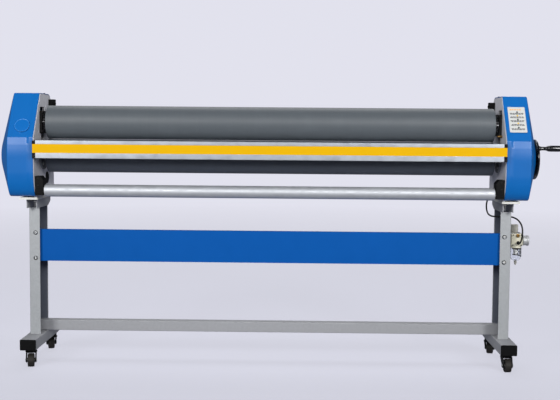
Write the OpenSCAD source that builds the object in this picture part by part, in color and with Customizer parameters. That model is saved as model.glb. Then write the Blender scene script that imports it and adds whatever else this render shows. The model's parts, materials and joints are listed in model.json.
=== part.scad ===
// Cold roll laminator on a castered stand.
// X runs along the rollers, Y points from the feed side to the delivery side and Z is up.
// The origin is on the floor under the middle of the machine. Sizes are in millimetres.

/* [Rollers] */
// Length of the rubber faces
roller_face = 1670; // [1300:10:1800]
// Diameter over the rubber
roller_d = 125; // [115:1:125]
// Height of the nip line above the floor
nip_z = 846.7; // [845:0.1:850]
// Depth position of both roller axes
roller_y = -30; // [-34:1:-28]
// Gap left between the closed rollers
nip_gap = 0.4; // [0.3:0.1:0.6]
// Opening stroke of the upper roller
lift_travel = 23; // [10:1:24]
// Thickness of the rubber sleeves
rubber_t = 7; // [4:1:10]

/* [Stand] */
// Width of a post across the machine
post_w = 40; // [38:1:42]
// Depth of a post
post_d = 120; // [110:2:124]
// Height of a foot tube's underside, which is the casters' height
caster_h = 66; // [66:1:72]
// Width of a foot tube
foot_w = 60; // [56:1:64]
// Height of a foot tube
foot_h = 40; // [36:1:44]
// Height of the top of the head channels
head_z = 622; // [620:1:624]
// Height of the head channels
channel_h = 34; // [30:1:38]
// Height of the square stretcher bar
bar_w = 40; // [36:1:44]

/* [Panel] */
// Height of the front panel
panel_h = 120; // [100:5:140]
// Height of the front panel's middle
panel_z = 445; // [430:5:450]

/* [Feed table] */
// Height of the table's front face
table_h = 64; // [60:1:66]
// Width of the coloured stripe
stripe_h = 32; // [26:1:36]

/* [Tubes] */
// Diameter of the supply and film tubes
tube_d = 46; // [40:1:48]
// Depth position of the supply tube
supply_y = -125; // [-128:1:-122]
// Height of the supply tube's axis
supply_z = 657.5; // [656:0.5:660]
// Depth position of the film tube
film_y = 82; // [80:1:84]
// Height of the film tube's axis
film_z = 948; // [946:1:950]

/* [End covers] */
// Wall of the end covers
cover_t = 3; // [2.5:0.5:3]
// How far the covers bulge beyond their rim
dome_h = 32; // [20:1:36]
// How much wider the left cover is than the right one
left_extra = 6; // [0:1:8]
// How much higher the left cover's bulge is, as no shaft comes through it
left_bulge = 9; // [0:1:12]

/* [Handwheel] */
// Diameter of the handwheel
wheel_d = 150; // [140:2:160]
// Length of the turning grip
grip_len = 60; // [50:2:70]

/* [Hidden] */
$fn = 48;

// Cutting overshoot and the air gap between parts that slide past each other
eps = 1;
slip = 0.5;

// Side frame stations, measured outwards from the middle along X
plate_x = roller_face / 2 + 25;
plate_t = 10;
cover_x0 = plate_x + 2;
cover_x1 = plate_x + 92;
post_x0 = plate_x + 6;
post_x1 = post_x0 + post_w;
post_mid = post_x0 + post_w / 2;
foot_x0 = post_mid - foot_w / 2;
foot_x1 = post_mid + foot_w / 2;

// Heights of the stand
foot_z1 = caster_h + foot_h;
channel_z0 = head_z - channel_h;
base_t = 8;
base_z1 = head_z + base_t;

// Roller axes
roller_r = roller_d / 2;
lower_z = nip_z - nip_gap / 2 - roller_r;
upper_z = nip_z + nip_gap / 2 + roller_r;
core_r = roller_r - rubber_t;
journal_r = 12;
shaft_r = 15;
running_gap = 0.06;

// Foot tubes and casters
foot_front = -170;
foot_back = 190;
foot_wall = 3;
cap_t = 4;
stem_front = -120;
stem_back = 150;
stem_back_x = post_mid - 10;
stem_r = 5;

// Posts, channels and panel
post_wall = 2.5;
channel_front = -95;
channel_back = 107;
channel_wall = 3;
channel_slant = 36;
bar_x1 = post_x1 - post_wall;
bar_y1 = post_d / 2 - post_wall;
bar_wall = 2;
panel_x1 = post_x0 + 32;
panel_t = 2;
panel_gap = 10;
panel_face_y = -post_d / 2 + post_wall + panel_gap;
panel_flange = 20;
panel_bolt_x = post_x0 + 16;
panel_bolt_dz = 48;
panel_bolt_r = 4;
head_bolt_x = post_x0 + 11;
head_bolt_y = [-78, 90];
head_bolt_r = 4;

// Side view of an end cover as [Y, Z]: rounded front, slope, flat top, round corner, back
cover_z0 = 634;
cover_z1 = 1018;
slope_foot = [-165, 853];
slope_top = [-60, cover_z1];
corner_r = 40;
corner_y = 65;
rear_top = [corner_y + corner_r, cover_z1 - corner_r];
rear_foot = [145, 700];
front_low = [[-130, cover_z0], [-147, 652], [-158, 680], [-164, 714], [-165, 745]];
cover_outline = concat(
    front_low, [slope_foot, slope_top],
    [for (a = [90 : -15 : 0]) [corner_y + corner_r * cos(a), cover_z1 - corner_r * (1 - sin(a))]],
    [rear_foot, [145, cover_z0]]
);
slope_angle = atan2(slope_top[1] - slope_foot[1], slope_top[0] - slope_foot[0]);
rear_angle = atan2(rear_foot[0] - rear_top[0], rear_top[1] - rear_foot[1]);
dome_r = 62;
dome_x = cover_x1 + dome_h;

// Upper bearing blocks, their windows and the lift cylinders
block_w = 90;
block_z0 = upper_z - 41.5;
block_z1 = upper_z + 41.5;
neck_w = 69;
neck_h = 62;
window_w = neck_w + 2 * slip;
window_z1 = upper_z + neck_h / 2 + lift_travel + 3;
lift_x = plate_x + 22;
lift_cyl_r = 20;
lift_cyl_z = [lower_z + 28, lower_z + 68];
lift_slot_w = 44;
lift_rod_r = 6;
bearing_r = 26;
flange_r = 53;

// Feed table section as [Y, Z]
table_y0 = -185;
table_y1 = -152;
table_back = -70;
table_z1 = 842;
table_z0 = table_z1 - table_h;
table_lip = 6;
stripe_z0 = table_z0 + 19;
stripe_deep = 1;
table_x = plate_x - 12;

// Handwheel and its off-centre grip
handwheel_x = dome_x + 4;
handwheel_t = 10;
grip_dy = -48;
grip_dz = 42;
grip_pin_r = 4;
grip_neck = 31;

// Air regulator on the right post's outer side
reg_x = [post_x1 + 12, post_x1 + 54];
reg_y = [-20, 22];
reg_z = [447, 502];
knob_x = post_x1 + 25;
knob_r = 14.5;
knob_h = 29;
bowl_x = post_x1 + 32;
bowl_r = 20;
bowl_z0 = 398;
gauge_z = 475;
gauge_r = 20;
outlet = [post_x1 + 36, -34, 468];
inlet_r = 6.58;
inlet_l = 12;

// The air hose's route from the regulator, through the post, up to the side plate
hose_r = 3;
hose_sides = 10;
hose_y = -38;
hose_z = 568;
hose_route = [
    [942, -34, 468], [942, -41, 468], [942.2, -48, 469], [942.6, -54.4, 471.7], [943.3, -59.9, 476.1],
    [944.2, -64, 481.8], [945.2, -66.4, 488.4], [946.3, -67, 496], [947.4, -66.2, 505.5], [948, -64, 516],
    [947.6, -61, 527], [944.9, -57.4, 538.6], [939.2, -52.5, 549.9], [929.9, -46.5, 559.6],
    [917.6, -41, 565.8],
    [904, -38.3, 568], [890, -38, 568], [878, -38, 568], [869, -38, 568], [859.8, -36.4, 568],
    [851.6, -31.7, 568], [845.6, -24.5, 568], [842.2, -15.5, 568.1], [840, -5, 568.5], [838, 7, 569.6],
    [836.2, 20, 572], [835.2, 33, 576], [834.6, 46, 583], [834.8, 57, 593], [836, 65, 605],
    [839, 70, 618], [843.2, 71.8, 628.5], [846.7, 72, 637.5], [848, 72, 644.5], [848, 72, 650]
];

// Casters as [X, Y, trail direction in degrees]
casters = [
    [-post_mid, stem_front, -78], [post_mid, stem_front, -89],
    [-stem_back_x, stem_back, 108], [stem_back_x, stem_back, 72]
];
trail = 22;
tread_r = 25;
tread_w = 24;
fork_gap = tread_w + 6;
fork_t = 3.5;
axle_r = 4;

// A block between two corners, each axis given as [low, high]
module box(x, y, z) {
    translate([x[0], y[0], z[0]]) cube([x[1] - x[0], y[1] - y[0], z[1] - z[0]]);
}

// Round bars along the three axes
module bar_x(x, y, z, r) {
    translate([x[0], y, z]) rotate([0, 90, 0]) cylinder(h = x[1] - x[0], r = r);
}
module bar_y(x, y, z, r) {
    translate([x, y[1], z]) rotate([90, 0, 0]) cylinder(h = y[1] - y[0], r = r);
}
module bar_z(x, y, z, r) {
    translate([x, y, z[0]]) cylinder(h = z[1] - z[0], r = r);
}

// A side view drawn as [Y, Z], swept along X
module prism_x(x) {
    translate([x[0], 0, 0]) rotate([90, 0, 90]) linear_extrude(x[1] - x[0]) children();
}

// A turned shape about an X axis, drawn as [radius, X]
module turned_x(y, z) {
    translate([0, y, z]) rotate([0, 90, 0]) rotate_extrude() children();
}

// Parts are drawn on the right and mirrored for the left
module left_side() {
    mirror([1, 0, 0]) children();
}
module both_sides() {
    children();
    left_side() children();
}

// Convex outline moved inwards by g, corner by corner
function edge_normal(p, q) = let (d = (q - p) / norm(q - p)) [d[1], -d[0]];
function inset(points, g) = let (n = len(points)) [
    for (i = [0 : n - 1])
        let (
            a = edge_normal(points[(i + n - 1) % n], points[i]),
            b = edge_normal(points[i], points[(i + 1) % n])
        )
        points[i] + g * (a + b) / (1 + a * b)
];

// Places on the covers' sloped front and sloped back, with local Z outwards
function slope_y(z) = slope_top[0] - (slope_top[1] - z) / tan(slope_angle);
function rear_y(z) = rear_top[0] + (rear_top[1] - z) * tan(rear_angle);
module on_slope(x, z) {
    translate([x, slope_y(z), z]) rotate([slope_angle, 0, 0]) children();
}
module on_rear(x, z) {
    translate([x, rear_y(z), z]) rotate([rear_angle - 90, 0, 0]) children();
}

// Stand

// A channel section, open towards the machine's middle
module post() {
    difference() {
        box([post_x0, post_x1], [-post_d / 2, post_d / 2], [foot_z1, channel_z0]);
        box([post_x0 - eps, post_x1 - post_wall],
            [-post_d / 2 + post_wall, post_d / 2 - post_wall], [foot_z1 - eps, channel_z0 + eps]);
        for (side = [-1, 1])
            bar_y(panel_bolt_x, [-post_d / 2 - eps, -post_d / 2 + post_wall + eps],
                panel_z + side * panel_bolt_dz, panel_bolt_r + 0.3);
    }
}

module left_post() {
    color("darkgray") left_side() post();
}

module right_post() {
    color("darkgray") difference() {
        post();
        bar_x([post_x1 - post_wall - eps, post_x1 + eps], hose_y, hose_z, hose_r + 2);
    }
}

module foot_tube() {
    difference() {
        box([foot_x0, foot_x1], [foot_front + cap_t, foot_back - cap_t], [caster_h, foot_z1]);
        box([foot_x0 + foot_wall, foot_x1 - foot_wall], [foot_front, foot_back],
            [caster_h + foot_wall, foot_z1 - foot_wall]);
        for (stem = [[post_mid, stem_front], [stem_back_x, stem_back]])
            bar_z(stem[0], stem[1], [caster_h - eps, caster_h + foot_wall + eps], stem_r + 0.2);
    }
}

module foot_tubes() {
    color("lightsteelblue") both_sides() foot_tube();
}

module foot_end_caps() {
    plug_l = 18;
    fit = foot_wall + 0.2;
    color("black") both_sides() {
        for (end = [[foot_front, 1], [foot_back, -1]]) {
            y_flange = [min(end[0], end[0] + end[1] * cap_t), max(end[0], end[0] + end[1] * cap_t)];
            y_plug = [min(end[0] + end[1] * cap_t, end[0] + end[1] * plug_l),
                max(end[0] + end[1] * cap_t, end[0] + end[1] * plug_l)];
            box([foot_x0, foot_x1], y_flange, [caster_h, foot_z1]);
            box([foot_x0 + fit, foot_x1 - fit], y_plug, [caster_h + fit, foot_z1 - fit]);
        }
    }
}

// An upturned channel with a slanted rear end
module head_channels() {
    side_view = [
        [channel_front, head_z], [channel_front, channel_z0], [channel_back - channel_slant, channel_z0],
        [channel_back, head_z - channel_slant / 2], [channel_back, head_z]
    ];
    color("lightsteelblue") both_sides() difference() {
        prism_x([post_x0, post_x1]) polygon(side_view);
        box([post_x0 + channel_wall, post_x1 - channel_wall],
            [channel_front - eps, channel_back + eps], [channel_z0 - eps, head_z - channel_wall]);
        for (y = head_bolt_y)
            bar_z(head_bolt_x, y, [channel_z0, head_z + eps], head_bolt_r + 0.3);
    }
}

module base_plates() {
    color("gainsboro") both_sides() difference() {
        box([plate_x - 2, plate_x + 65], [-120, 115], [head_z, base_z1]);
        for (y = head_bolt_y) bar_z(head_bolt_x, y, [head_z - eps, base_z1 + eps], head_bolt_r + 0.3);
    }
}

module foot_blocks() {
    block_half = 20;
    block_h = 30;
    color("gray") both_sides() for (y = head_bolt_y) difference() {
        box([plate_x + plate_t, plate_x + 40], [y - block_half, y + block_half],
            [base_z1, base_z1 + block_h]);
        bar_z(head_bolt_x, y, [base_z1 - eps, base_z1 + block_h + eps], head_bolt_r);
    }
}

// Bolts through channel and base plate into the foot blocks, with a nut below the web
module head_bolts() {
    washer_z = head_z - channel_wall;
    color("silver") both_sides() for (y = head_bolt_y) {
        bar_z(head_bolt_x, y, [channel_z0 + 5, base_z1 + 25], head_bolt_r);
        bar_z(head_bolt_x, y, [washer_z - 1.6, washer_z], 7.7);
        translate([head_bolt_x, y, washer_z - 8.4]) cylinder(h = 6.8, r = 7.5, $fn = 6);
    }
}

module stretcher_bar() {
    color("lightsteelblue") difference() {
        box([-bar_x1, bar_x1], [bar_y1 - bar_w, bar_y1], [foot_z1, foot_z1 + bar_w]);
        box([-bar_x1 - eps, bar_x1 + eps], [bar_y1 - bar_w + bar_wall, bar_y1 - bar_wall],
            [foot_z1 + bar_wall, foot_z1 + bar_w - bar_wall]);
    }
}

// Folded sheet whose ends sit in the posts, with a threaded spacer at each bolt
module front_panel() {
    y0 = panel_face_y;
    z0 = panel_z - panel_h / 2;
    z1 = panel_z + panel_h / 2;
    spacer_r = 7;
    spacer_y = [y0 - panel_gap, y0 + panel_t + 7];
    color("royalblue") difference() {
        union() {
            box([-panel_x1, panel_x1], [y0, y0 + panel_t], [z0, z1]);
            box([-panel_x1, panel_x1], [y0, y0 + panel_flange], [z0, z0 + panel_t]);
            box([-panel_x1, panel_x1], [y0, y0 + panel_flange], [z1 - panel_t, z1]);
            both_sides() for (side = [-1, 1])
                bar_y(panel_bolt_x, spacer_y, panel_z + side * panel_bolt_dz, spacer_r);
        }
        both_sides() for (side = [-1, 1])
            bar_y(panel_bolt_x, [spacer_y[0] - eps, spacer_y[1] + eps],
                panel_z + side * panel_bolt_dz, panel_bolt_r);
    }
}

module panel_bolts() {
    face = -post_d / 2;
    color("silver") both_sides() for (side = [-1, 1]) {
        z = panel_z + side * panel_bolt_dz;
        bar_y(panel_bolt_x, [face - 1.4, face], z, 8);
        bar_y(panel_bolt_x, [face - 5.5, face - 1.4], z, 6.5);
        bar_y(panel_bolt_x, [face, face + 20], z, panel_bolt_r);
    }
}

// Side frames

module side_plate() {
    difference() {
        union() {
            prism_x([plate_x, plate_x + plate_t]) polygon(inset(cover_outline, cover_t + 0.4));
            box([plate_x, plate_x + plate_t], [-118, 115], [base_z1, cover_z0 + 10]);
        }
        bar_x([plate_x - eps, plate_x + plate_t + eps], roller_y, lower_z, 20);
        box([plate_x - eps, plate_x + plate_t + eps],
            [roller_y - lift_slot_w / 2, roller_y + lift_slot_w / 2],
            [lift_cyl_z[0], upper_z - neck_h / 2]);
        box([plate_x - eps, plate_x + plate_t + eps],
            [roller_y - window_w / 2, roller_y + window_w / 2],
            [upper_z - neck_h / 2 - slip, window_z1]);
    }
}

module left_side_plate() {
    slot_y = -90;
    slot_z = 870;
    color("lightsteelblue") left_side() difference() {
        side_plate();
        bar_x([plate_x - eps, plate_x + plate_t + eps], 31, 698, 18);
        box([plate_x - eps, plate_x + plate_t + eps], [slot_y - 3, slot_y + 3],
            [slot_z - 12, slot_z + 12]);
    }
}

module right_side_plate() {
    color("lightsteelblue") side_plate();
}

// Domed plastic shell, open towards the side plate whose edge it wraps
module cover_solid(g, rim_x1, apex_x) {
    hull() {
        prism_x([cover_x0, rim_x1 - g]) polygon(inset(cover_outline, g));
        bar_x([apex_x - g - 1, apex_x - g], roller_y, lower_z, dome_r - g / 2);
    }
}

module end_cover(rim_x1, apex_x) {
    difference() {
        cover_solid(0, rim_x1, apex_x);
        cover_solid(cover_t, rim_x1, apex_x);
        prism_x([cover_x0 - eps, cover_x0 + eps]) polygon(inset(cover_outline, cover_t));
        box([cover_x0 - eps, plate_x + 41], [-122, 116], [cover_z0 - eps, cover_z0 + 5]);
    }
}

module left_end_cover() {
    color("royalblue") left_side()
        end_cover(cover_x1 + left_extra, dome_x + left_extra + left_bulge);
}

module right_end_cover() {
    color("royalblue") difference() {
        end_cover(cover_x1, dome_x);
        bar_x([cover_x1, dome_x + eps], roller_y, lower_z, journal_r + 3);
        on_rear(valve_x, valve_z) translate([0, 0, -10]) cylinder(h = 20, r = valve_neck_r + 0.2);
    }
}

module cover_badge() {
    color("dodgerblue") on_slope(-plate_x - 48, 896) cylinder(h = 1.2, r = 27.5);
}

module cover_label() {
    label_w = 63;
    label_l = 110;
    color("white") on_slope(plate_x + 47, 931)
        translate([-label_w / 2, -label_l / 2, 0]) cube([label_w, label_l, 0.5]);
}

module feed_table_section() {
    polygon([
        [table_y0, table_z0], [table_y0, stripe_z0],
        [table_y0 + stripe_deep, stripe_z0], [table_y0 + stripe_deep, stripe_z0 + stripe_h],
        [table_y0, stripe_z0 + stripe_h], [table_y0, table_z1],
        [table_back, table_z1], [table_back, table_z1 - table_lip],
        [table_y1, table_z1 - table_lip], [table_y1, table_z0]
    ]);
}

// Extruded table: a two-chambered front box with a lip that runs back to the nip
module feed_table() {
    wall = 3;
    split = table_z0 + table_h / 2;
    color("gainsboro") difference() {
        prism_x([-table_x, table_x]) feed_table_section();
        for (z = [[table_z0 + wall, split - wall / 2], [split + wall / 2, table_z1 - table_lip]])
            box([-table_x - eps, table_x + eps],
                [table_y0 + stripe_deep + wall, table_y1 - wall], z);
    }
}

module feed_table_stripe() {
    color("gold") box([-plate_x + 1, plate_x - 1],
        [table_y0 - 0.2, table_y0 + stripe_deep], [stripe_z0, stripe_z0 + stripe_h]);
}

module feed_table_end_plugs() {
    color("black") both_sides() difference() {
        prism_x([table_x, plate_x]) feed_table_section();
        for (z = [table_z0 + 6, table_z1 - 6])
            bar_y(plate_x - 6, [table_y0 - eps, table_y0 + 12], z, 2);
    }
}

module rear_tie_beam() {
    beam_y = [70, 110];
    beam_z = [745, 805];
    wall = 3;
    color("lightsteelblue") difference() {
        box([-plate_x, plate_x], beam_y, beam_z);
        box([-plate_x - eps, plate_x + eps], [beam_y[0] + wall, beam_y[1] - wall],
            [beam_z[0] + wall, beam_z[1] - wall]);
    }
}

// Rollers

module roller_sleeve(z) {
    difference() {
        bar_x([-roller_face / 2, roller_face / 2], roller_y, z, roller_r);
        bar_x([-roller_face / 2 - eps, roller_face / 2 + eps], roller_y, z, core_r);
    }
}

module lower_roller_sleeve() {
    color("darkslategray") roller_sleeve(lower_z);
}

module upper_roller_sleeve() {
    color("dimgray") roller_sleeve(upper_z);
}

module core_tube(z) {
    core_wall = 6;
    disc_t = 20;
    difference() {
        bar_x([-roller_face / 2, roller_face / 2], roller_y, z, core_r);
        bar_x([-roller_face / 2 + disc_t, roller_face / 2 - disc_t], roller_y, z, core_r - core_wall);
    }
}

// The lower core carries the journals and the long right end that holds the handwheel
module lower_roller_core() {
    color("silver") {
        core_tube(lower_z);
        bar_x([-plate_x - 16, -roller_face / 2], roller_y, lower_z, shaft_r);
        bar_x([roller_face / 2, plate_x + 16], roller_y, lower_z, shaft_r);
        bar_x([plate_x + 16, handwheel_x + handwheel_t + 3], roller_y, lower_z, journal_r);
    }
}

module upper_roller_core() {
    color("silver") {
        core_tube(upper_z);
        both_sides() bar_x([roller_face / 2, plate_x + 32], roller_y, upper_z, journal_r);
    }
}

module lower_bearings() {
    hub_r = 20;
    color("darkgray") both_sides() difference() {
        union() {
            bar_x([plate_x - 10, plate_x], roller_y, lower_z, flange_r);
            bar_x([plate_x, plate_x + 12], roller_y, lower_z, hub_r);
        }
        bar_x([plate_x - 11, plate_x + 13], roller_y, lower_z, shaft_r + running_gap);
    }
}

// Sliding blocks, grooved so that the side plate's window guides them
module bearing_blocks() {
    outer_x = plate_x + 36;
    color("black") both_sides() difference() {
        union() {
            box([plate_x - 9, plate_x - 0.4], [roller_y - block_w / 2, roller_y + block_w / 2],
                [block_z0, block_z1]);
            box([plate_x - eps, plate_x + plate_t + eps], [roller_y - neck_w / 2, roller_y + neck_w / 2],
                [upper_z - neck_h / 2, upper_z + neck_h / 2]);
            box([plate_x + plate_t + 0.4, outer_x], [roller_y - block_w / 2, roller_y + block_w / 2],
                [block_z0, block_z1]);
        }
        bar_x([plate_x - 10, outer_x + eps], roller_y, upper_z, bearing_r);
    }
}

module upper_bearings() {
    color("silver") both_sides() difference() {
        bar_x([plate_x - 7, plate_x + 34], roller_y, upper_z, bearing_r);
        bar_x([plate_x - 8, plate_x + 35], roller_y, upper_z, journal_r + running_gap);
    }
}

module air_cylinders() {
    color("gray") both_sides() difference() {
        union() {
            bar_z(lift_x, roller_y, lift_cyl_z, lift_cyl_r);
            box([plate_x + plate_t, plate_x + plate_t + 6], [roller_y - 38, roller_y + 38],
                [lift_cyl_z[0] + 5, lift_cyl_z[1] - 5]);
        }
        bar_z(lift_x, roller_y, [lift_cyl_z[0] + 3, lift_cyl_z[1] + eps], lift_rod_r + running_gap);
    }
}

module lift_rods() {
    color("silver") both_sides() bar_z(lift_x, roller_y, [lift_cyl_z[0] + 5, block_z0], lift_rod_r);
}

// Handwheel, drawn as [radius, X]

module handwheel() {
    x0 = handwheel_x;
    x1 = handwheel_x + handwheel_t;
    rim = wheel_d / 2;
    color("black") difference() {
        turned_x(roller_y, lower_z) polygon([
            [journal_r, x0 - 2], [22, x0 - 2], [24, x0 + 2], [rim - 14, x0 + 2], [rim - 9, x0],
            [rim - 2, x0], [rim, x0 + 2], [rim, x1 - 2], [rim - 2, x1], [rim - 9, x1],
            [rim - 14, x1 - 3], [24, x1 - 3], [22, x1 + 4], [journal_r, x1 + 4]
        ]);
        bar_x([x0 - eps, x1 + eps], roller_y + grip_dy, lower_z + grip_dz, grip_pin_r);
    }
}

module grip_pin() {
    x0 = handwheel_x;
    x1 = handwheel_x + handwheel_t;
    color("silver") {
        bar_x([x0, x1 + grip_neck + grip_len + 2], roller_y + grip_dy, lower_z + grip_dz, grip_pin_r);
        bar_x([x1 + grip_neck + grip_len + 1, x1 + grip_neck + grip_len + 4],
            roller_y + grip_dy, lower_z + grip_dz, 7);
    }
}

module handwheel_grip() {
    x0 = handwheel_x + handwheel_t + slip;
    x1 = x0 + grip_neck;
    bore = grip_pin_r + running_gap;
    color("black") turned_x(roller_y + grip_dy, lower_z + grip_dz) polygon([
        [bore, x0], [9, x0], [9, x0 + 3], [7, x0 + 6], [7, x1 - 6], [10, x1 - 1], [11.3, x1 + 6],
        [11.3, x1 + grip_len - 8], [9.5, x1 + grip_len - 2], [8, x1 + grip_len], [bore, x1 + grip_len]
    ]);
}

// Supply tube and film tube, each an aluminium tube turning on spindles in black holders

module tube_on_spindles(y, z, face_x) {
    spindle_r = 8;
    spindle_l = 16;
    wall = 2.5;
    end_t = 12;
    difference() {
        bar_x([-face_x, face_x], y, z, tube_d / 2);
        bar_x([-face_x + end_t, face_x - end_t], y, z, tube_d / 2 - wall);
    }
    both_sides() bar_x([face_x, face_x + spindle_l], y, z, spindle_r);
}

module supply_tube() {
    color("gainsboro") tube_on_spindles(supply_y, supply_z, plate_x - 33);
}

module film_tube() {
    color("gainsboro") tube_on_spindles(film_y, film_z, plate_x - 22);
}

module tube_holders() {
    color("black") both_sides() difference() {
        translate([0, supply_y + 25, 0]) rotate([90, 0, 0]) linear_extrude(50) polygon([
            [plate_x, 640], [plate_x - 31, 640], [plate_x - 31, 697], [plate_x - 20, 711], [plate_x, 711]
        ]);
        bar_x([plate_x - 32, plate_x - 14], supply_y, supply_z, 8 + running_gap);
    }
}

module film_tube_holders() {
    color("black") both_sides() difference() {
        box([plate_x - 20, plate_x], [film_y - 19, film_y + 18], [film_z - 24, film_z + 50]);
        bar_x([plate_x - 21, plate_x - 4], film_y, film_z, 8 + running_gap);
        bar_x([plate_x - 21, plate_x - 12], film_y - 8, film_z + 34, 3);
    }
}

// Cover rim screws, the feed table's corner screws and the film tube's lock screws
module small_screws() {
    rim_x = plate_x + plate_t / 2;
    corner_x = plate_x - 6;
    lock_x = plate_x - 20;
    lock_y = film_y - 8;
    lock_z = film_z + 34;
    color("black") both_sides() {
        bar_z(rim_x, 20, [cover_z1, cover_z1 + 2], 4);
        bar_y(rim_x, [rear_foot[0], rear_foot[0] + 2], 667, 4);
        for (z = [table_z0 + 6, table_z1 - 6]) {
            bar_y(corner_x, [table_y0 - 1.5, table_y0], z, 3.4);
            bar_y(corner_x, [table_y0, table_y0 + 10], z, 2);
        }
        bar_x([lock_x - 6, lock_x], lock_y, lock_z, 5);
        bar_x([lock_x, lock_x + 8], lock_y, lock_z, 3);
    }
}

// Air supply on the right post

module regulator_bracket() {
    color("silver") difference() {
        union() {
            box([post_x1, post_x1 + 3], [reg_y[0] + 4, reg_y[1] - 4], [455, reg_z[1] + 3]);
            box([post_x1, reg_x[1] - 6], [reg_y[0] + 4, reg_y[1] - 4], [reg_z[1], reg_z[1] + 3]);
        }
        bar_z(knob_x, 0, [reg_z[1] - eps, reg_z[1] + 4], 10);
    }
}

module regulator_body() {
    color("ivory") difference() {
        union() {
            box(reg_x, reg_y, [reg_z[0] + 8, reg_z[1]]);
            bar_z(bowl_x, 0, [reg_z[0], reg_z[0] + 8], bowl_r + 0.6);
            bar_z(knob_x, 0, [reg_z[1], reg_z[1] + 4.5], 9.8);
            bar_y((reg_x[0] + reg_x[1]) / 2, [reg_y[1], reg_y[1] + 6], gauge_z, 11);
        }
        bar_y((reg_x[0] + reg_x[1]) / 2, [reg_y[1] + 6 - inlet_l, reg_y[1] + 7], gauge_z, inlet_r);
    }
}

module regulator_knob() {
    z0 = reg_z[1] + 5;
    color("silver") translate([knob_x, 0, 0]) rotate_extrude() polygon([
        [0, z0], [knob_r, z0], [knob_r, z0 + knob_h - 3], [knob_r - 3, z0 + knob_h], [0, z0 + knob_h]
    ]);
}

module pressure_gauge() {
    color("silver") {
        bar_x([reg_x[1], reg_x[1] + 3], 0, gauge_z, 7);
        bar_x([reg_x[1] + 3, reg_x[1] + 25], 0, gauge_z, gauge_r);
    }
}

module filter_bowl() {
    wall = 2;
    color("whitesmoke", 0.4) translate([bowl_x, 0, 0]) rotate_extrude() polygon([
        [0, bowl_z0], [9, bowl_z0], [bowl_r - 3, bowl_z0 + 6], [bowl_r, bowl_z0 + 14],
        [bowl_r, reg_z[0]], [bowl_r - wall, reg_z[0]], [bowl_r - wall, bowl_z0 + 15],
        [bowl_r - 5, bowl_z0 + 8], [8, bowl_z0 + wall], [0, bowl_z0 + wall]
    ]);
}

// Wire-like safety guard round the outer half of the bowl
module bowl_guard() {
    color("dimgray") difference() {
        bar_z(bowl_x, 0, [bowl_z0 + 16, reg_z[0]], bowl_r + 1.8);
        bar_z(bowl_x, 0, [bowl_z0 + 15, reg_z[0] + 1], bowl_r + 0.3);
        box([bowl_x - 30, bowl_x + 12], [-30, 30], [bowl_z0, reg_z[0] + eps]);
    }
}

module bowl_drain() {
    color("dimgray") translate([bowl_x, 0, 0]) rotate_extrude() polygon([
        [0, bowl_z0 - 17], [3, bowl_z0 - 17], [5.5, bowl_z0 - 9], [5.5, bowl_z0 - 0.4], [0, bowl_z0 - 0.4]
    ]);
}

// Regulator plug on the body's front and the blow-off nozzle on the right side plate
module brass_fittings() {
    color("goldenrod") {
        translate([post_x1 + 35, reg_y[0], 495]) rotate([90, 0, 0]) {
            cylinder(h = 4, r = 7.5, $fn = 6);
            cylinder(h = 9, r = 4.5);
        }
        bar_x([plate_x - 18, plate_x], -82, 869, 4.5);
    }
}

// Push-in sockets at both ends of the hose
module hose_fittings() {
    elbow = hose_route[len(hose_route) - 1];
    color("black") {
        bar_y(outlet[0], [outlet[1], reg_y[0]], outlet[2], 6.5);
        bar_z(elbow[0], elbow[1], [elbow[2], elbow[2] + 18], 6);
        bar_x([elbow[0], plate_x], elbow[1], elbow[2] + 12, 5);
    }
}

// A smooth curve through the route, two steps to a span
function curve_point(p, i, t) = let (
    n = len(p) - 1,
    a = p[max(i - 1, 0)], b = p[i], c = p[min(i + 1, n)], d = p[min(i + 2, n)]
) 0.5 * (2 * b + (c - a) * t + (2 * a - 5 * b + 4 * c - d) * t * t + (3 * b - a - 3 * c + d) * t * t * t);
hose_line = concat(
    [for (i = [0 : len(hose_route) - 2], t = [0, 0.5]) curve_point(hose_route, i, t)],
    [hose_route[len(hose_route) - 1]]
);
function unit(v) = v / norm(v);
function tangent(p, i) = unit(p[min(i + 1, len(p) - 1)] - p[max(i - 1, 0)]);
// Each ring's reference direction is the last one's, turned no more than the route bends
function carried(p, i, v) = unit(v - (v * tangent(p, i)) * tangent(p, i));
function frames(p, i = 0, v = [0, 0, 1], out = []) =
    i == len(p) ? out : let (w = carried(p, i, v)) frames(p, i + 1, w, concat(out, [w]));

module swept_tube(p, r, sides) {
    up = frames(p);
    n = len(p);
    points = [
        for (i = [0 : n - 1], k = [0 : sides - 1])
            let (side = cross(tangent(p, i), up[i]), a = 360 * k / sides)
            p[i] + r * (cos(a) * up[i] + sin(a) * side)
    ];
    walls = [
        for (i = [0 : n - 2], k = [0 : sides - 1])
            let (a = i * sides + k, b = i * sides + (k + 1) % sides)
            [a, b, b + sides, a + sides]
    ];
    start = [for (k = [sides - 1 : -1 : 0]) k];
    end = [for (k = [0 : sides - 1]) (n - 1) * sides + k];
    polyhedron(points, concat([start], walls, [end]), convexity = 6);
}

module air_hose() {
    color("black") swept_tube(hose_line, hose_r, hose_sides);
}

// Rubber rings where the hose passes the post, and a blind one in the left side plate
module ring_x(x, y, z, r, bore) {
    difference() {
        bar_x(x, y, z, r);
        bar_x([x[0] - eps, x[1] + eps], y, z, bore);
    }
}

module grommets() {
    color("black") {
        ring_x([post_x1, post_x1 + 2], hose_y, hose_z, 8, hose_r + 1.2);
        ring_x([bar_x1 - 2, bar_x1], hose_y, hose_z, 8, hose_r + 1.2);
        left_side() bar_x([plate_x - 3, plate_x], 31, 698, 22.5);
    }
}

// Toggle valve on the back of the right cover, drawn with local Z pointing out of the wall
valve_x = plate_x + 55;
valve_z = 860;
valve_neck_r = 8;
valve_pivot = 12;

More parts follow.
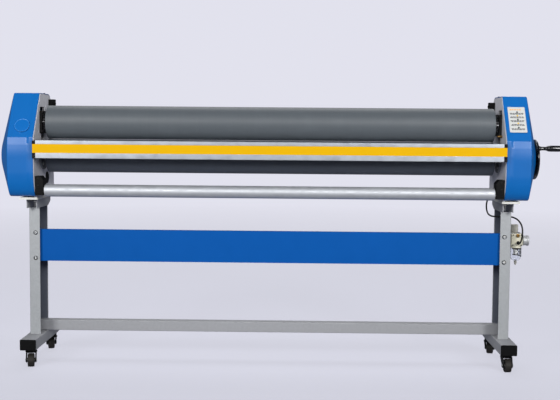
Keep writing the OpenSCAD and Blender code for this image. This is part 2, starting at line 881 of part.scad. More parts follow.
module lift_valve() {
    color("black") on_rear(valve_x, valve_z) difference() {
        union() {
            box([-12, 12], [-18, 18], [-33, -cover_t - 0.4]);
            bar_z(0, 0, [-cover_t - 1, 1], valve_neck_r);
            bar_z(0, 0, [0.1, 6], 10);
            for (side = [-1, 1]) box([side * 6 - 1.5, side * 6 + 1.5], [-4, 4], [5, valve_pivot + 4]);
        }
        bar_x([-9, 9], 0, valve_pivot, 2 + running_gap);
    }
}

module lift_valve_lever() {
    color("firebrick") on_rear(valve_x, valve_z) {
        bar_x([-8, 8], 0, valve_pivot, 2);
        bar_x([-4, 4], 0, valve_pivot, 4);
        bar_z(0, 0, [valve_pivot, valve_pivot + 28], 2.5);
        translate([0, 0, valve_pivot + 32]) sphere(r = 7);
    }
}

// Casters, drawn about their stem with the wheel trailing along local X

module at_caster(i) {
    translate([casters[i][0], casters[i][1], 0]) rotate([0, 0, casters[i][2]]) children();
}

module caster_stems() {
    color("silver") for (i = [0 : 3]) at_caster(i) {
        bar_z(0, 0, [61, caster_h], 19);
        bar_z(0, 0, [49, caster_h + 16], stem_r);
        bar_z(0, 0, [49, 52], 8);
        translate([0, 0, caster_h + foot_wall]) cylinder(h = 8, r = 9, $fn = 6);
    }
}

module fork(i) {
    crown_z = [52.6, 60.5];
    leg_y = fork_gap / 2;
    color("black") at_caster(i) difference() {
        union() {
            bar_z(0, 0, crown_z, 22);
            for (side = [-1, 1])
                translate([0, side * (leg_y + fork_t / 2) + fork_t / 2, 0]) rotate([90, 0, 0])
                    linear_extrude(fork_t) union() {
                        polygon([
                            [-16, crown_z[1]], [-15, 50], [trail - 8, tread_r - 3],
                            [trail + 8, tread_r + 2], [25, 52], [20, crown_z[1]]
                        ]);
                        translate([trail, tread_r]) circle(r = 9);
                    }
            bar_y(trail, [-leg_y - fork_t - 2, leg_y + fork_t + 2], tread_r, axle_r);
            for (side = [-1, 1])
                bar_y(trail, [side * (leg_y + fork_t + 1) - 1.2, side * (leg_y + fork_t + 1) + 1.2],
                    tread_r, 6);
        }
        bar_z(0, 0, [crown_z[0] - eps, crown_z[1] + eps], stem_r + 0.1);
    }
}

module fork_front_left() fork(0);
module fork_front_right() fork(1);
module fork_rear_left() fork(2);
module fork_rear_right() fork(3);

module caster_wheel(i) {
    half = tread_w / 2;
    bore = axle_r + running_gap;
    color("saddlebrown") at_caster(i) translate([trail, 0, tread_r]) rotate([90, 0, 0])
        rotate_extrude() polygon([
            [bore, -half - 2.5], [8, -half - 2.5], [9, -half + 1], [tread_r - 5, -half + 1],
            [tread_r - 4, -half], [tread_r - 1.5, -half], [tread_r, -half + 2],
            [tread_r, half - 2], [tread_r - 1.5, half], [tread_r - 4, half],
            [tread_r - 5, half - 1], [9, half - 1], [8, half + 2.5], [bore, half + 2.5]
        ]);
}

module wheel_front_left() caster_wheel(0);
module wheel_front_right() caster_wheel(1);
module wheel_rear_left() caster_wheel(2);
module wheel_rear_right() caster_wheel(3);

left_post();
right_post();
foot_tubes();
foot_end_caps();
head_channels();
head_bolts();
base_plates();
foot_blocks();
stretcher_bar();
front_panel();
panel_bolts();
left_side_plate();
right_side_plate();
left_end_cover();
right_end_cover();
cover_badge();
cover_label();
lower_bearings();
air_cylinders();
feed_table();
feed_table_stripe();
feed_table_end_plugs();
small_screws();
rear_tie_beam();
tube_holders();
film_tube_holders();
regulator_bracket();
regulator_body();
pressure_gauge();
filter_bowl();
bowl_guard();
brass_fittings();
hose_fittings();
air_hose();
grommets();
lift_valve();
caster_stems();
lower_roller_sleeve();
lower_roller_core();
handwheel();
grip_pin();
handwheel_grip();
bearing_blocks();
upper_bearings();
lift_rods();
upper_roller_sleeve();
upper_roller_core();
supply_tube();
film_tube();
regulator_knob();
bowl_drain();
lift_valve_lever();
fork_front_left();
fork_front_right();
fork_rear_left();
fork_rear_right();
wheel_front_left();
wheel_front_right();
wheel_rear_left();
wheel_rear_right();
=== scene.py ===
"""Visual model of a wide cold roll laminator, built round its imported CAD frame.

X runs along the rollers, Y from the feed side to the delivery side and Z up. Lengths
are in millimetres, and become metres when a mesh is made.
"""
import json
from math import cos, pi, radians, sin, tan

import bmesh
import bpy
from mathutils import Matrix, Vector


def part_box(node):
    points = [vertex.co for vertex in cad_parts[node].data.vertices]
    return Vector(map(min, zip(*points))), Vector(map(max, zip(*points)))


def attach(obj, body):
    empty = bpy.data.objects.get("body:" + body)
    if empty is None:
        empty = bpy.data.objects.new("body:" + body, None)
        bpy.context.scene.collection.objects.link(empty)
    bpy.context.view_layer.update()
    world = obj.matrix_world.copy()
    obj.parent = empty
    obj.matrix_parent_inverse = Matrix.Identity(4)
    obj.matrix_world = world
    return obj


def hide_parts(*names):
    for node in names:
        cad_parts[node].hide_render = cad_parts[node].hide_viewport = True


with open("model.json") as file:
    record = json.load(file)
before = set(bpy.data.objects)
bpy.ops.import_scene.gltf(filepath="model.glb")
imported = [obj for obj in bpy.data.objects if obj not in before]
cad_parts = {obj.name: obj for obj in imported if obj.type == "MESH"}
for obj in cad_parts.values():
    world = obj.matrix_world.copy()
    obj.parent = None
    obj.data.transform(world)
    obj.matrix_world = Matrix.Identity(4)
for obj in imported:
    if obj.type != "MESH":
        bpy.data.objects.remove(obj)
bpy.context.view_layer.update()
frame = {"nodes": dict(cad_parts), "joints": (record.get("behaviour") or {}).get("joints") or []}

MM = 0.001
SCENE = bpy.context.scene
JOINTS = {joint["name"]: joint for joint in frame["joints"]}
CASTERS = ["front_left", "front_right", "rear_left", "rear_right"]


def span(node):
    """A CAD node's box in millimetres, as ((x0, x1), (y0, y1), (z0, z1))."""
    low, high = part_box(node)
    return tuple((low[i] / MM, high[i] / MM) for i in range(3))


def pivot(joint):
    """A joint's anchor in millimetres."""
    return Vector(JOINTS[joint]["pos_m"]) / MM


# Camera, lights and floor

CAMERA_AT = (0.0977, -3.7772, 0.8867)
CAMERA_YAW, CAMERA_PITCH, CAMERA_ROLL = -0.0156, 0.0703, 0.0081
CAMERA_LENS = 63.87
SENSOR = 36.0


def place_camera():
    data = bpy.data.cameras.new("camera")
    data.sensor_width = SENSOR
    data.lens = CAMERA_LENS
    camera = bpy.data.objects.new("camera", data)
    turn = (
        Matrix.Rotation(-CAMERA_YAW, 4, "Z")
        @ Matrix.Rotation(pi / 2 - CAMERA_PITCH, 4, "X")
        @ Matrix.Rotation(CAMERA_ROLL, 4, "Z")
    )
    camera.matrix_world = Matrix.Translation(CAMERA_AT) @ turn
    SCENE.collection.objects.link(camera)
    SCENE.camera = camera


def softbox(name, at, aim, size, power):
    """A rectangular lamp at a point in metres, facing another point."""
    data = bpy.data.lights.new(name, "AREA")
    data.shape = "RECTANGLE"
    data.size, data.size_y = size
    data.energy = power
    lamp = bpy.data.objects.new(name, data)
    facing = (Vector(aim) - Vector(at)).to_track_quat("-Z", "Y")
    lamp.matrix_world = Matrix.Translation(at) @ facing.to_matrix().to_4x4()
    SCENE.collection.objects.link(lamp)
    return lamp


FILL_COLOUR, FILL_STRENGTH = (0.80, 0.84, 1.0, 1), 0.12
BACKDROP_COLOUR = (0.76, 0.76, 0.85, 1)


def light_studio():
    """A pale backdrop, softboxes before and beside the machine, and a broad one above it.

    Camera rays and what shows through the clear bowl see the backdrop; the rest sees the fill.
    """
    world = bpy.data.worlds.new("studio")
    world.use_nodes = True
    tree = world.node_tree
    fill = tree.nodes["Background"]
    fill.inputs["Color"].default_value = FILL_COLOUR
    fill.inputs["Strength"].default_value = FILL_STRENGTH
    backdrop = tree.nodes.new("ShaderNodeBackground")
    backdrop.inputs["Color"].default_value = BACKDROP_COLOUR
    seen = tree.nodes.new("ShaderNodeLightPath")
    choose = tree.nodes.new("ShaderNodeMixShader")
    either = tree.nodes.new("ShaderNodeMath")
    either.operation = "MAXIMUM"
    tree.links.new(seen.outputs["Is Camera Ray"], either.inputs[0])
    tree.links.new(seen.outputs["Is Transmission Ray"], either.inputs[1])
    tree.links.new(either.outputs[0], choose.inputs["Fac"])
    tree.links.new(fill.outputs[0], choose.inputs[1])
    tree.links.new(backdrop.outputs[0], choose.inputs[2])
    tree.links.new(choose.outputs[0], tree.nodes["World Output"].inputs["Surface"])
    SCENE.world = world
    front = softbox("front_softbox", (0, -5.6, 2.8), (0, 0, 1.1), (2.4, 1.6), 16)
    front.data.spread = radians(70)
    for side in (-1, 1):
        name = f"side_softbox_{side + 2}"
        key = softbox(name, (2.6 * side, -3.6, 2.2), (0.8 * side, 0, 1.25), (1.2, 1.6), 17)
        key.data.spread = radians(64)
    softbox("overhead_softbox", (0, 1.9, 3.2), (0, 0.1, 0.4), (3.4, 1.6), 50)


FLOOR_HALF = 16.0
FLOOR_SOLID, FLOOR_GONE = 1.5, 8.0
FLOOR_CLEAR = 0.72


def make_floor():
    """A pale floor that fades into the backdrop away from the machine."""
    data = bpy.data.meshes.new("floor")
    corners = [(-1, -1), (1, -1), (1, 1), (-1, 1)]
    data.from_pydata([(x * FLOOR_HALF, y * FLOOR_HALF, 0) for x, y in corners], [], [(0, 1, 2, 3)])
    floor = bpy.data.objects.new("floor", data)
    paint = Finish("studio_floor", (0.66, 0.68, 0.82), 0.55)
    paint.mottle(0.015, 400)
    tree = paint.tree
    away = tree.nodes.new("ShaderNodeVectorMath")
    away.operation = "LENGTH"
    tree.links.new(paint.where, away.inputs[0])
    fade = paint.spread(away.outputs["Value"], FLOOR_SOLID, FLOOR_GONE, FLOOR_CLEAR, 1)
    clear = tree.nodes.new("ShaderNodeBsdfTransparent")
    blend = tree.nodes.new("ShaderNodeMixShader")
    tree.links.new(fade, blend.inputs["Fac"])
    tree.links.new(paint.shader.outputs[0], blend.inputs[1])
    tree.links.new(clear.outputs[0], blend.inputs[2])
    tree.links.new(blend.outputs[0], tree.nodes["Material Output"].inputs["Surface"])
    data.materials.append(paint.material)
    SCENE.collection.objects.link(floor)


# Materials


def srgb(*levels):
    """A colour given as 0 to 255 screen levels, as the shader's linear numbers."""
    return tuple(((v / 255 + 0.055) / 1.055) ** 2.4 if v > 10 else v / 255 / 12.92 for v in levels)


class Finish:
    """A procedural material: one Principled shader and textures in the piece's own space."""

    def __init__(self, name, colour, rough, **sockets):
        self.material = bpy.data.materials.new(name)
        self.material.use_nodes = True
        self.tree = self.material.node_tree
        self.shader = self.tree.nodes["Principled BSDF"]
        self.colour, self.rough = colour, rough
        self.shader.inputs["Base Color"].default_value = (*colour, 1)
        self.shader.inputs["Roughness"].default_value = rough
        for socket, value in sockets.items():
            label = socket.replace("_", " ").title().replace("Ior", "IOR")
            self.shader.inputs[label].default_value = value
        self.where = self.tree.nodes.new("ShaderNodeTexCoord").outputs["Object"]
        self.height = None

    def link(self, source, target):
        self.tree.links.new(source, target)

    def noise(self, size, stretch=(1, 1, 1), detail=4):
        """Noise whose features are about size millimetres across, drawn out by stretch."""
        scale = self.tree.nodes.new("ShaderNodeMapping")
        scale.inputs["Scale"].default_value = tuple(1 / (size * MM * s) for s in stretch)
        self.link(self.where, scale.inputs["Vector"])
        texture = self.tree.nodes.new("ShaderNodeTexNoise")
        texture.inputs["Scale"].default_value = 1.0
        texture.inputs["Detail"].default_value = detail
        self.link(scale.outputs[0], texture.inputs["Vector"])
        return texture.outputs[0]

    def spread(self, value, low, high, new_low, new_high):
        node = self.tree.nodes.new("ShaderNodeMapRange")
        for slot, number in zip(range(1, 5), (low, high, new_low, new_high)):
            node.inputs[slot].default_value = number
        self.link(value, node.inputs[0])
        return node.outputs[0]

    def blend(self, factor, first, second):
        """A colour between two others, each a socket or a plain colour."""
        node = self.tree.nodes.new("ShaderNodeMix")
        node.data_type = "RGBA"
        self.link(factor, node.inputs["Factor"])
        for slot, colour in ((6, first), (7, second)):
            if isinstance(colour, bpy.types.NodeSocket):
                self.link(colour, node.inputs[slot])
            else:
                node.inputs[slot].default_value = (*colour, 1)
        return node.outputs[2]

    def mottle(self, amount, size, stretch=(1, 1, 1), rough_by=0.06):
        """Varies the colour and the roughness in soft patches."""
        patches = self.spread(self.noise(size, stretch), 0.3, 0.7, 0, 1)
        dark = tuple(c * (1 - amount) for c in self.colour)
        light = tuple(min(c * (1 + amount) + amount * 0.02, 1) for c in self.colour)
        base = self.blend(patches, dark, light)
        self.link(base, self.shader.inputs["Base Color"])
        uneven = self.noise(size * 1.7, stretch)
        low, high = max(self.rough - rough_by, 0.02), self.rough + rough_by
        self.link(self.spread(uneven, 0.3, 0.7, low, high), self.shader.inputs["Roughness"])
        return self

    def speck(self, colour, size, low, high):
        """Specks of another colour where fine noise passes a threshold."""
        base = self.shader.inputs["Base Color"].links[0].from_socket
        marks = self.spread(self.noise(size, detail=2), low, high, 0, 1)
        self.link(self.blend(marks, base, colour), self.shader.inputs["Base Color"])
        return self

    def grain(self, size, depth, stretch=(1, 1, 1)):
        """Raises the surface by noise, depth millimetres deep. Calls stack."""
        bump = self.tree.nodes.new("ShaderNodeBump")
        bump.inputs["Distance"].default_value = depth * MM
        bump.inputs["Strength"].default_value = 1.0
        self.link(self.noise(size, stretch, 3), bump.inputs["Height"])
        if self.height:
            self.link(self.height, bump.inputs["Normal"])
        self.height = bump.outputs[0]
        self.link(self.height, self.shader.inputs["Normal"])
        return self


ALONG_X, ROUND_X = (60, 1, 1), (1, 60, 60)
ROUND_Z = (60, 60, 1)


def powder_coat(name, colour):
    """Fine-textured powder coat: small orange peel and a faint lighter speckle."""
    paint = Finish(name, colour, 0.5, specular_ior_level=0.4)
    paint.mottle(0.05, 9).speck(tuple(min(c * 1.22, 1) for c in colour), 1.6, 0.55, 0.75)
    return paint.grain(1.4, 0.12).grain(5, 0.05).material


def gloss_blue(name, colour, rough, coat):
    """Moulded or painted blue with a clear top coat and slight long waves."""
    paint = Finish(name, colour, rough, specular_ior_level=0.1, coat_weight=coat, coat_roughness=0.36)
    return paint.mottle(0.02, 60, rough_by=0.03).grain(14, 0.012).grain(1.1, 0.006).material


def metal(name, colour, rough, stretch=(1, 1, 1), size=0.5, depth=0.01, mottle=0.05, metallic=1.0):
    paint = Finish(name, colour, rough, metallic=metallic)
    return paint.mottle(mottle, 18, rough_by=0.08).grain(size, depth, stretch).material


def zinc_plate(name):
    """Passivated zinc with faint warm and cool blotches."""
    paint = Finish(name, srgb(196, 198, 200), 0.34, metallic=1.0)
    paint.mottle(0.07, 5)
    paint.speck(srgb(206, 198, 168), 3.5, 0.5, 0.8)
    return paint.grain(0.7, 0.01).material


def moulded(name, colour, rough, size=0.9, depth=0.02, **sockets):
    """Spark-textured moulded plastic or rubber."""
    return Finish(name, colour, rough, **sockets).mottle(0.1, 14).grain(size, depth).material


def film(name, colour, rough=0.5):
    """Smooth printed film with hardly any variation."""
    paint = Finish(name, colour, rough, specular_ior_level=0.08)
    return paint.mottle(0.015, 40, rough_by=0.03).grain(2.5, 0.004).material


def ground_rubber(name, colour):
    """A ground silicone sleeve: fine rings round the roller and a trace of dust."""
    paint = Finish(name, colour, 0.5, specular_ior_level=0.45)
    paint.mottle(0.02, 9, ROUND_X, 0.03).speck(tuple(min(c * 1.12, 1) for c in colour), 60, 0.45, 0.9)
    return paint.grain(1.2, 0.006, ROUND_X).grain(0.6, 0.01).material


def clear_plastic(name):
    """Clear polycarbonate with a faint haze."""
    paint = Finish(name, (0.93, 0.95, 1.0), 0.06, transmission_weight=1.0, ior=1.5)
    return paint.mottle(0.02, 8, rough_by=0.03).material


FRAME_GREY = powder_coat("frame_grey_powder_coat", srgb(166, 167, 170))
POST_GREY = powder_coat("post_grey_powder_coat", srgb(170, 173, 175))
SIDE_PLATE = powder_coat("side_plate_powder_coat", srgb(216, 216, 222))
PLATE_LIGHT = powder_coat("plate_light_powder_coat", srgb(222, 221, 214))
# Painted shade: a darker grey for the faces inside the post channels, standing in for the shadow cast
# by their front flanges.
POST_INSIDE_SHADE = powder_coat("post_inside_painted_shade", srgb(100, 104, 116))
CAST_GREY = powder_coat("cast_grey_paint", srgb(118, 121, 126))
PANEL_BLUE = gloss_blue("panel_blue_paint", srgb(0, 86, 168), 0.6, 0.0)
COVER_BLUE = gloss_blue("cover_blue_plastic", srgb(0, 102, 180), 0.4, 0.6)
BADGE_BLUE = gloss_blue("badge_blue_plastic", srgb(0, 104, 184), 0.4, 0.6)
BADGE_RIM = moulded("badge_rim_plastic", srgb(58, 138, 214), 0.35)
LABEL_WHITE = film("label_film", srgb(210, 211, 208), 0.5)
LABEL_ORANGE = film("label_orange_ink", srgb(240, 178, 106), 0.5)
LABEL_GREY = film("label_grey_ink", srgb(62, 64, 68), 0.5)
LABEL_YELLOW = film("label_yellow_ink", srgb(238, 196, 30), 0.5)
ZINC = zinc_plate("zinc_plate")
STEEL = metal("ground_steel", srgb(176, 176, 178), 0.3, ROUND_X, 0.6, 0.006)
ROD_STEEL = metal("rod_steel", srgb(190, 190, 194), 0.2, ROUND_Z, 0.5, 0.004)
RUBBER_UPPER = ground_rubber("upper_roller_rubber", srgb(84, 90, 95))
RUBBER_LOWER = ground_rubber("lower_roller_rubber", srgb(86, 92, 101))
ALUMINIUM = metal("anodised_aluminium", srgb(196, 199, 204), 0.55, ALONG_X, 0.5, 0.008, 0.03, 0.6)
TABLE_ALUMINIUM = metal("table_extrusion", srgb(176, 181, 188), 0.42, ALONG_X, 0.5, 0.008, 0.03)
YELLOW = film("stripe_yellow_film", srgb(228, 176, 0))
BLACK_PLASTIC = moulded("black_plastic", srgb(8, 8, 9), 0.6, specular_ior_level=0.15)
BLACK_BLOCK = moulded("black_block_coating", srgb(10, 10, 12), 0.5, 0.7, 0.012, specular_ior_level=0.25)
BLACK_STEEL = moulded("black_painted_steel", srgb(15, 15, 16), 0.5, 1.0, 0.015, specular_ior_level=0.25)
BLACK_GLOSS = moulded("black_phenolic", srgb(9, 9, 11), 0.12, 6, 0.008, coat_weight=0.6)
CREAM = powder_coat("cream_casting_paint", srgb(226, 222, 200))
SILVER_PLASTIC = moulded("silver_grey_plastic", srgb(170, 168, 160), 0.4)
GAUGE_METAL = metal("gauge_plating", srgb(190, 191, 192), 0.45, (1, 1, 1), 2.0, 0.004, 0.05, 0.4)
GAUGE_WHITE = moulded("gauge_dial", srgb(238, 238, 232), 0.5, 2.0, 0.004)
CLEAR = clear_plastic("clear_polycarbonate")
FILTER_WHITE = moulded("filter_element", srgb(228, 226, 216), 0.8, 0.8, 0.12)
BRASS = metal("machined_brass", srgb(156, 122, 70), 0.38, (1, 1, 1), 0.8, 0.008, 0.08)
HOSE = moulded("polyurethane_hose", srgb(5, 5, 6), 0.3, 3.0, 0.01, specular_ior_level=0.2)
RED = moulded("red_plastic", srgb(190, 26, 18), 0.3, 1.2, 0.01, coat_weight=0.3)
WHEEL = moulded("wheel_rubber", srgb(44, 41, 38), 0.6, 1.0, 0.05, specular_ior_level=0.3)
HUB = moulded("wheel_hub_nylon", srgb(38, 36, 35), 0.4)


# Pieces


def put(axis, a, b, along):
    """A point from its place across an axis and along it."""
    return {"x": (along, a, b), "y": (a, along, b), "z": (a, b, along)}[axis]


def arcs(corners, radius=0.0, steps=6):
    """Points and outward normals round a closed outline of (a, b) or (a, b, radius) corners."""
    out = []
    for i, corner in enumerate(corners):
        here = Vector(corner[:2])
        turn_r = corner[2] if len(corner) > 2 else radius
        back = (Vector(corners[i - 1][:2]) - here).normalized()
        ahead = (Vector(corners[(i + 1) % len(corners)][:2]) - here).normalized()
        inward = (back + ahead).normalized()
        if turn_r <= 0:
            out.append((here, -inward))
            continue
        half = back.angle(ahead) / 2
        centre = here + inward * (turn_r / sin(half))
        start = here + back * (turn_r / tan(half)) - centre
        end = here + ahead * (turn_r / tan(half)) - centre
        for k in range(steps + 1):
            arm = start.slerp(end, k / steps).normalized()
            out.append((centre + arm * turn_r, arm))
    return out


def rounded(corners, radius=0.0, steps=6):
    return [tuple(point) for point, _ in arcs(corners, radius, steps)]


def rectangle(a, b):
    return [(a[0], b[0]), (a[1], b[0]), (a[1], b[1]), (a[0], b[1])]


def ring(inner, outer, low, high, *form):
    """A plain band's profile for turned(), or a disc's when the inner radius is 0."""
    return [(inner, low), (outer, low, *form), (outer, high, *form), (inner, high)]


def both_ways(profile):
    """A profile and its mirror image, as one run from right to left."""
    return profile + [(r, -x) for r, x in reversed(profile)]


SHARP = radians(38)


class Piece:
    """One mesh piece, gathered from turned, drawn and boxed shapes."""

    def __init__(self, name, paint):
        self.name = name
        self.mesh = bmesh.new()
        self.paints = [paint]
        self.paint = 0
        self.place = Matrix.Identity(4)

    def painted(self, paint):
        """What is added next wears this material."""
        if paint not in self.paints:
            self.paints.append(paint)
        self.paint = self.paints.index(paint)
        return self

    def placed(self, place):
        """What is added next is moved by this matrix."""
        self.place = place
        return self

    def add(self, points, faces, edge=0.0, steps=2):
        """Adds a closed shape with its sharp edges rounded."""
        part = bmesh.new()
        verts = [part.verts.new(self.place @ Vector(p)) for p in points]
        for face in faces:
            part.faces.new([verts[i] for i in face])
        bmesh.ops.remove_doubles(part, verts=part.verts, dist=1e-4)
        bmesh.ops.recalc_face_normals(part, faces=part.faces)
        if edge:
            sharp = [e for e in part.edges if e.is_manifold and e.calc_face_angle() > SHARP]
            bmesh.ops.bevel(
                part, geom=sharp, offset=edge, segments=steps, profile=0.5,
                affect="EDGES", clamp_overlap=True,
            )
        for face in part.faces:
            face.material_index = self.paint
        scratch = bpy.data.meshes.new("scratch")
        part.to_mesh(scratch)
        part.free()
        self.mesh.from_mesh(scratch)
        bpy.data.meshes.remove(scratch)
        return self

    def turned(self, profile, centre=(0, 0, 0), axis="z", steps=48, edge=0.0):
        """Turns (radius, along) points. A third number makes a polygon with that many sides,
        or when it is below zero, ribs of that depth.
        """
        points = []
        for radius, along, *form in profile:
            for k in range(steps):
                angle = 2 * pi * k / steps
                reach = radius
                if form and form[0] > 0:
                    sector = 2 * pi / form[0]
                    reach = radius / cos(angle % sector - sector / 2)
                elif form:
                    reach = radius + form[0] * (k % 2)
                local = put(axis, reach * cos(angle), reach * sin(angle), along)
                points.append(Vector(local) + Vector(centre))
        rings = len(profile) if profile[0][0] > 0 else len(profile) - 1
        faces = []
        for i in range(rings):
            j = (i + 1) % len(profile)
            for k in range(steps):
                n = (k + 1) % steps
                faces.append((i * steps + k, i * steps + n, j * steps + n, j * steps + k))
        return self.add(points, faces, edge)

    def drawn(self, outline, low, high, axis="x", edge=0.0, steps=2):
        """Extrudes an outline from low to high along an axis."""
        n = len(outline)
        points = [put(axis, a, b, low) for a, b in outline]
        points += [put(axis, a, b, high) for a, b in outline]
        sides = [(i, (i + 1) % n, n + (i + 1) % n, n + i) for i in range(n)]
        caps = [tuple(range(n)), tuple(range(2 * n - 1, n - 1, -1))]
        return self.add(points, sides + caps, edge, steps)

    def block(self, x, y, z, edge=0.6, steps=2):
        return self.drawn(rectangle(x, y), z[0], z[1], "z", edge, steps)

    def mirrored(self):
        """Repeats everything so far on the other side of the machine."""
        whole = self.mesh.verts[:] + self.mesh.edges[:] + self.mesh.faces[:]
        copy = bmesh.ops.duplicate(self.mesh, geom=whole)["geom"]
        verts = [g for g in copy if isinstance(g, bmesh.types.BMVert)]
        faces = [g for g in copy if isinstance(g, bmesh.types.BMFace)]
        bmesh.ops.scale(self.mesh, vec=(-1, 1, 1), verts=verts)
        bmesh.ops.reverse_faces(self.mesh, faces=faces)
        return self

    def done(self, body, slot, *nodes):
        """Makes the object, which rides on a body and stands for the named CAD nodes."""
        bmesh.ops.scale(self.mesh, vec=(MM, MM, MM), verts=self.mesh.verts)
        return finished(self.name, self.mesh, self.paints, body, nodes)


def finished(name, mesh, paints, body, nodes, smooth=40):
    data = bpy.data.meshes.new(name)
    mesh.to_mesh(data)
    mesh.free()
    for paint in paints:
        data.materials.append(paint)
    data.shade_smooth()
    data.set_sharp_from_angle(angle=radians(smooth))
    piece = bpy.data.objects.new(name, data)
    SCENE.collection.objects.link(piece)
    even = piece.modifiers.new("even_normals", "WEIGHTED_NORMAL")
    even.keep_sharp = True
    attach(piece, body)
    if nodes:
        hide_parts(*nodes)
    return piece


def softened(node, paint, width, body="root"):
    """A CAD node's own shape with its edges rounded by width millimetres."""
    source = frame["nodes"][node].data
    mesh = bmesh.new()
    verts = [mesh.verts.new(v.co) for v in source.vertices]
    for polygon in source.polygons:
        corners = [verts[i] for i in polygon.vertices]
        if not mesh.faces.get(corners):
            mesh.faces.new(corners)
    bmesh.ops.remove_doubles(mesh, verts=mesh.verts, dist=2e-6)
    bmesh.ops.dissolve_limit(
        mesh, angle_limit=radians(0.6), verts=mesh.verts, edges=mesh.edges,
        use_dissolve_boundaries=False,
    )
    sharp = [e for e in mesh.edges if e.is_manifold and e.calc_face_angle() > SHARP]
    bmesh.ops.bevel(
        mesh, geom=sharp, offset=width * MM, segments=2, profile=0.5,
        affect="EDGES", clamp_overlap=True, loop_slide=True,
    )
    return finished(node + "_finish", mesh, [paint], body, [node])


def repainted(node, paint):
    """Gives a CAD node that stays as it is its material."""
    data = frame["nodes"][node].data
    if data.materials:
        data.materials[0] = paint
    else:
        data.materials.append(paint)


def plane_at(axis, base):
    """A centre for turned(), whose along values are measured in the machine's own frame."""
    return [0 if key == axis else value for key, value in zip("xyz", base)]


def socket_head(piece, at, axis, radius, height, out=1):
    """A button head with a hexagon socket, rising by height from a point along an axis."""
    base = at["xyz".index(axis)]

    def level(part):
        return base + out * height * part

    piece.turned(
        [
            (0, level(0)), (radius, level(0)), (radius, level(0.35)), (radius * 0.93, level(0.66)),
            (radius * 0.78, level(0.88)), (radius * 0.56, level(1)), (radius * 0.5, level(1), 6),
            (radius * 0.46, level(0.9), 6), (radius * 0.46, level(0.3), 6), (0, level(0.2)),
        ],
        plane_at(axis, at), axis, 36,
    )


def thread(radius, low, high, pitch=1.5):
    """Profile points of a screw thread's ridges between two heights."""
    turns = max(int((high - low) / pitch), 1)
    step = (high - low) / turns
    out = []
    for i in range(turns):
        out += [(radius - 0.5, low + step * i), (radius, low + step * (i + 0.5))]
    return out + [(radius - 0.5, high)]


# Places taken from the frame

PLATE_X = span("right_side_plate")[0][0]
PLATE_OUT = span("right_side_plate")[0][1]
LOWER = pivot("lower_roller_spin")
UPPER = pivot("upper_roller_spin")
POST_IN, POST_OUT = span("right_post")[0]
POST_FRONT, POST_BACK = span("right_post")[1]
POST_LOW, POST_TOP = span("right_post")[2]
POST_WALL = 2.5


# End covers

COVER_RIM, COVER_DOME = span("right_end_cover")[0]
COVER_FRONT, COVER_REAR = span("right_end_cover")[1]
COVER_FOOT, COVER_TOP = span("right_end_cover")[2]
COVER_RINGS = [
    (0, 1.0, 0), (0.4, 0.3, 0), (1.2, 0, 0), (13, 0, 0), (16, 0.2, 0.15), (20, 0.3, 0.5),
    (24, 0.3, 0.85), (28, 0.2, 1), (45, 0, 1), (68, 0.2, 1), (80, 0.3, 1),
]
COVER_LEFT = -span("left_end_cover")[0][0]
COVER_WIDE = {1: 90.0, -1: 96.0}
COVER_WALL = 3.0
FOOT_OPENING = (-122.0, 116.0)
FOOT_OPENING_END = PLATE_X + 41
BELLY = 1.0
DOME_R = 62.0
EDGE_R = 3.5
DOME_BEND = 3.0
SLOPE_FOOT = (COVER_FRONT + BELLY, 853.0)
SLOPE_TOP = (-60.0, COVER_TOP)
REAR_TOP, REAR_FOOT = (105.0, 978.0), (COVER_REAR, 700.0)


def cover_corners(soft):
    """Side view of a cover from its front foot round to its rear foot, as (Y, Z, radius).

    The rim keeps the side plate's outline. Further out the front is a soft belly.
    """
    middle_z = 797
    front = [
        (-130, COVER_FOOT, 24), (-147, 652, 60), (-158, 680, 150), (COVER_FRONT + BELLY, 714, 200),
        (COVER_FRONT, middle_z, 300), (COVER_FRONT + BELLY / 2, 828, 60), (*SLOPE_FOOT, 10),
    ]
    if soft:
        front = [
            (-128, COVER_FOOT, 26), (-145, 653, 60), (-156, 682, 150), (COVER_FRONT + 4, 717, 200),
            (COVER_FRONT, middle_z, 300), (COVER_FRONT + 2, 828, 70),
            (SLOPE_FOOT[0] + 6, SLOPE_FOOT[1], 10),
        ]
    back = [
        (*SLOPE_TOP, 9), (REAR_TOP[0], COVER_TOP, 38), (*REAR_FOOT, 30),
        (COVER_REAR, COVER_FOOT, 12),
    ]
    return front + back


def cover_rings(rim_view, side_view, hub_r, side):
    """Rings from the open rim out over the rounded edge and the dome to the hub."""
    hub = Vector((LOWER.y, LOWER.z))
    edge = COVER_RIM + COVER_WIDE[side]
    apex = COVER_DOME if side > 0 else COVER_LEFT

    def point(pair, x, inset=0.0):
        at, normal = pair
        flat = at - normal * inset
        return Vector((x, flat.x, flat.y))

    def on_dome(pair, radius):
        flat = hub + pair[1] * radius
        return Vector((apex, flat.x, flat.y))

    def bend(a, b, c, t):
        return a * (1 - t) ** 2 + b * (2 * t * (1 - t)) + c * t ** 2

    def between(x, inset, share):
        ring = []
        for rim_pair, pair in zip(rim_view, side_view):
            ring.append(point(rim_pair, x, inset).lerp(point(pair, x, inset), share))
        return ring

    rings = []
    for x, inset, share in COVER_RINGS:
        rings.append(between(COVER_RIM + x, inset, share))
    steps = 6
    for k in range(steps + 1):
        ring = []
        for pair in side_view:
            corner = point(pair, edge, 0.4)
            down = (on_dome(pair, DOME_R) - corner).normalized()
            start = corner - Vector((EDGE_R, 0, 0))
            ring.append(bend(start, corner, corner + down * EDGE_R, k / steps))
        rings.append(ring)
    for k in range(steps + 1):
        ring = []
        for pair in side_view:
            corner = on_dome(pair, DOME_R)
            up = (point(pair, edge, 0.4) - corner).normalized()
            ring.append(
                bend(corner + up * DOME_BEND, corner, on_dome(pair, DOME_R - DOME_BEND), k / steps)
            )
        rings.append(ring)
    for radius, dip in ((34, 0), (30, 0), (28.5, 1.2), (hub_r, 1.2)):
        rings.append([on_dome(pair, radius) - Vector((dip, 0, 0)) for pair in side_view])
    return rings


